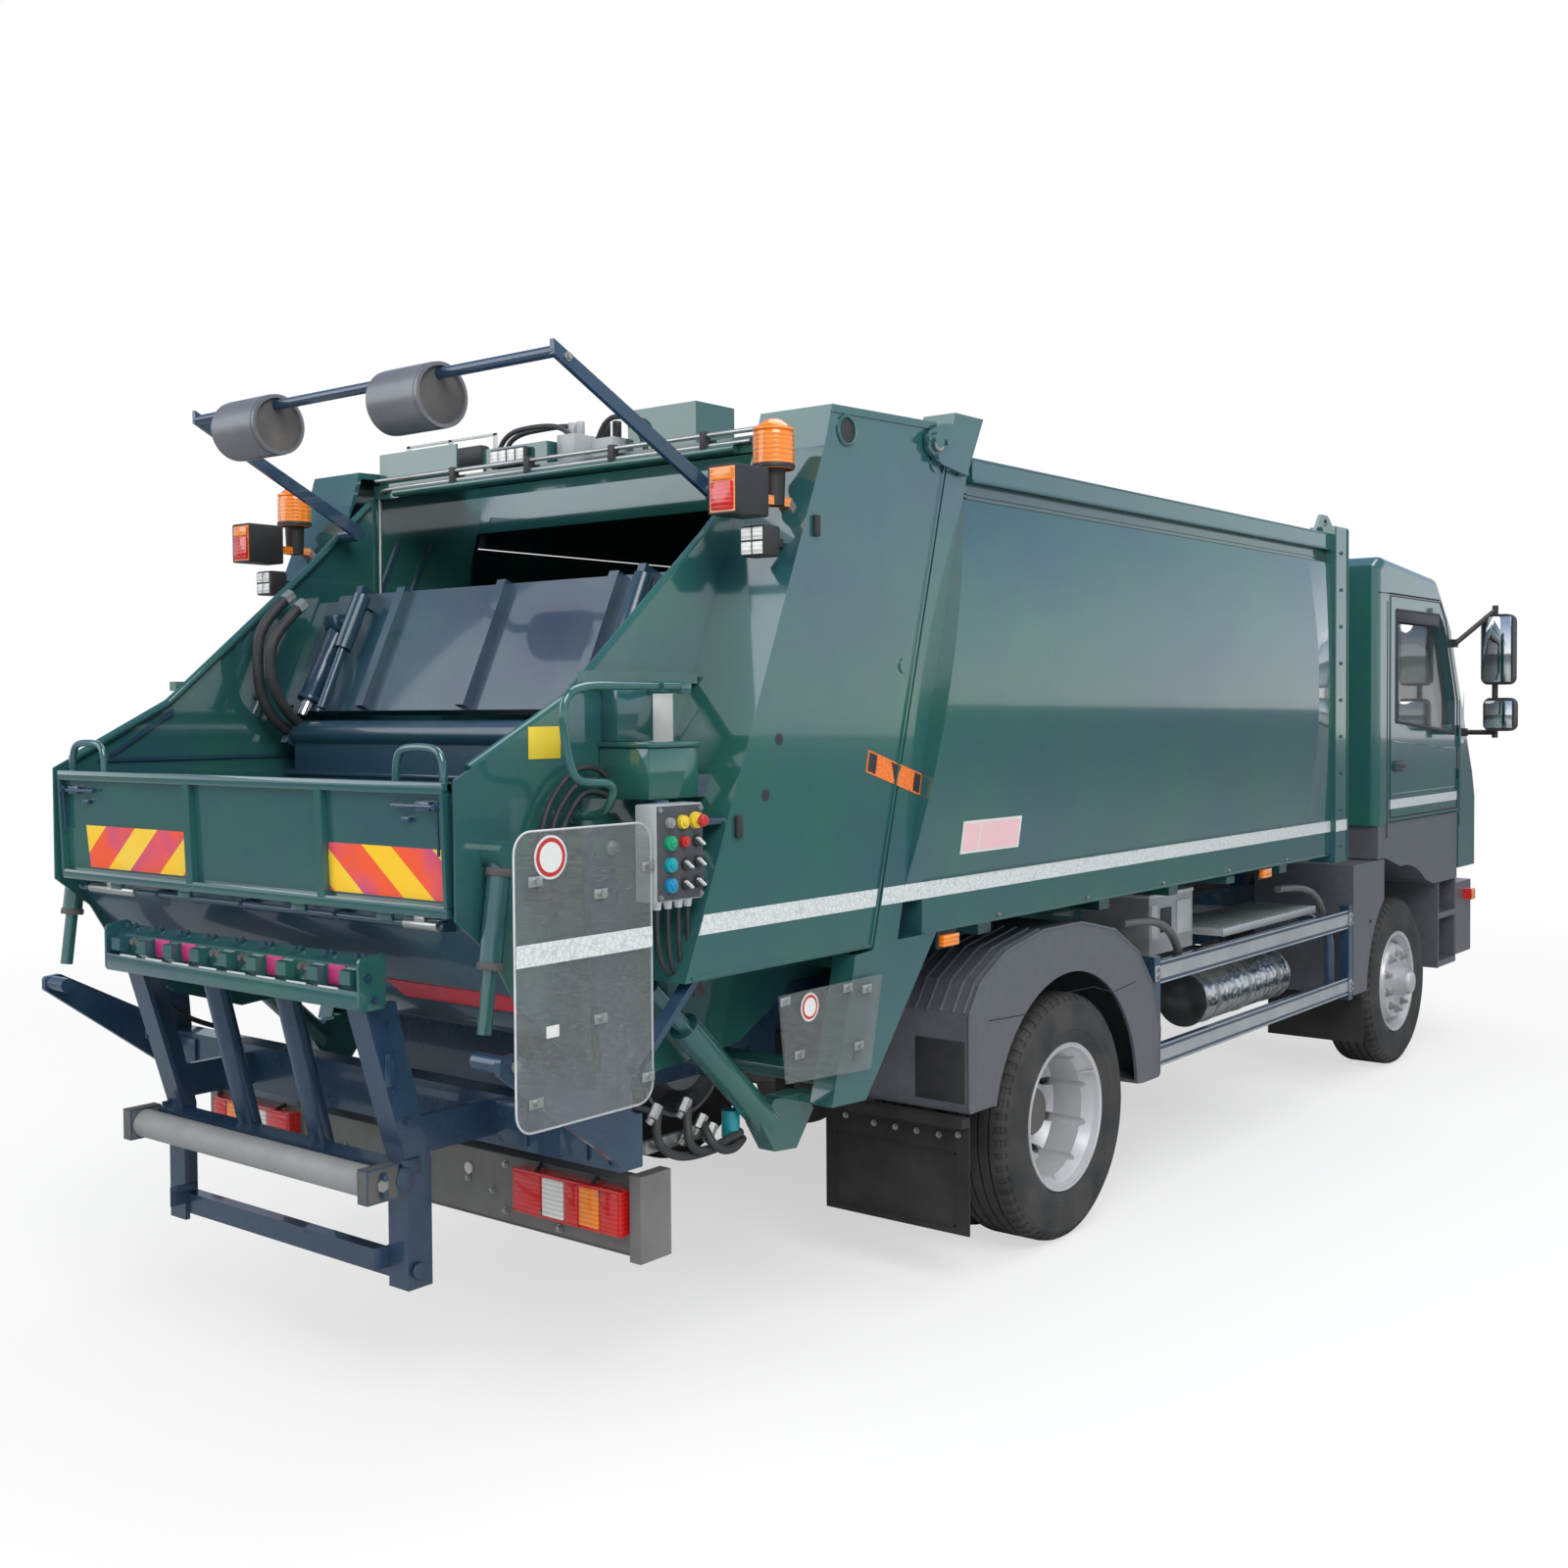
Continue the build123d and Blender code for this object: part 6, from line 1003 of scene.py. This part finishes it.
made.tree.links.new(share.socket, mixed.inputs[0])
made.tree.links.new(made.shader.outputs[0], mixed.inputs[1])
made.tree.links.new(glow.outputs[0], mixed.inputs[2])
made.tree.links.new(mixed.outputs[0], made.tree.nodes["Material Output"].inputs["Surface"])
mesh.materials.append(made.material)

# world: white for the camera, soft blue light, and a dark sky in glossy reflections
world = bpy.data.worlds.new("studio")
bpy.context.scene.world = world
world.use_nodes = True
tree = world.node_tree
for node in list(tree.nodes):
    tree.nodes.remove(node)
path = tree.nodes.new("ShaderNodeLightPath")
plain = (Signal(tree, path.outputs["Is Camera Ray"]) + Signal(tree, path.outputs["Is Transmission Ray"])).clamped()
glossy = Signal(tree, path.outputs["Is Glossy Ray"])
direction = Signal(tree, tree.nodes.new("ShaderNodeTexCoord").outputs["Generated"])
height = direction.node("ShaderNodeSeparateXYZ", None, {0: direction}, 2)
skyStops = [(0.0, (0.97, 0.98, 1.0)), (0.10, (0.80, 0.88, 0.98)), (0.32, (0.30, 0.40, 0.58)),
            (1.0, (0.14, 0.20, 0.34))]
sky = height.node("ShaderNodeValToRGB", {"stops": skyStops}, {0: height})
shown = plain.blend(glossy.blend((0.93, 0.96, 1.0), sky), (1.0, 1.0, 1.0))
background = tree.nodes.new("ShaderNodeBackground")
tree.links.new(shown.socket, background.inputs["Color"])
tree.links.new((0.5 + (plain + glossy).clamped() * 0.5).socket, background.inputs["Strength"])
output = tree.nodes.new("ShaderNodeOutputWorld")
tree.links.new(background.outputs[0], output.inputs[0])

lamps = {
    "keyLamp": dict(place=(-6.5, -7.5, 8.5), size=7.0, power=800.0),
    "fillLamp": dict(place=(-9.0, 5.0, 6.0), size=8.0, power=320.0),
    "topLamp": dict(place=(1.5, -1.0, 9.5), size=9.0, power=480.0),
}
for name, lamp in lamps.items():
    light = bpy.data.lights.new(name, "AREA")
    light.shape, light.size, light.energy = "DISK", lamp["size"], lamp["power"]
    holder = bpy.data.objects.new(name, light)
    holder.location = lamp["place"]
    holder.rotation_euler = (Vector((0, 0, 1.3)) - Vector(lamp["place"])).to_track_quat("-Z", "Y").to_euler()
    bpy.context.scene.collection.objects.link(holder)

# camera: fitted to the photograph, lengths from the rear axle and the lens in its pixels
view = dict(place=(-5.2137, -4.0869, 1.8708), yaw=0.6634, pitch=0.028, roll=-0.0062, focal=1722.42,
            middle=(820.5, 772.3), pixels=1600)
yaw, pitch, roll, pixels = view["yaw"], view["pitch"], view["roll"], view["pixels"]
ahead = Vector((cos(yaw) * cos(pitch), sin(yaw) * cos(pitch), -sin(pitch)))
aside = Vector((sin(yaw), -cos(yaw), 0))
upward = aside.cross(ahead)
rolledAside = aside * cos(roll) + upward * sin(roll)
rolledUp = upward * cos(roll) - aside * sin(roll)
camera = bpy.data.cameras.new("photoView")
camera.sensor_width = 36.0
camera.lens = view["focal"] / pixels * 36
camera.shift_x = -(view["middle"][0] - pixels / 2) / pixels
camera.shift_y = (view["middle"][1] - pixels / 2) / pixels
camera.clip_end = 200
cameraObject = bpy.data.objects.new("photoView", camera)
turn = Matrix((rolledAside, rolledUp, -ahead)).transposed().to_4x4()
cameraObject.matrix_world = Matrix.Translation(Vector(view["place"]) + Vector((rearAxleX, 0, 0))) @ turn
bpy.context.scene.collection.objects.link(cameraObject)
bpy.context.scene.camera = cameraObject
bpy.context.scene.view_settings.view_transform = "Standard"
print("studio done")
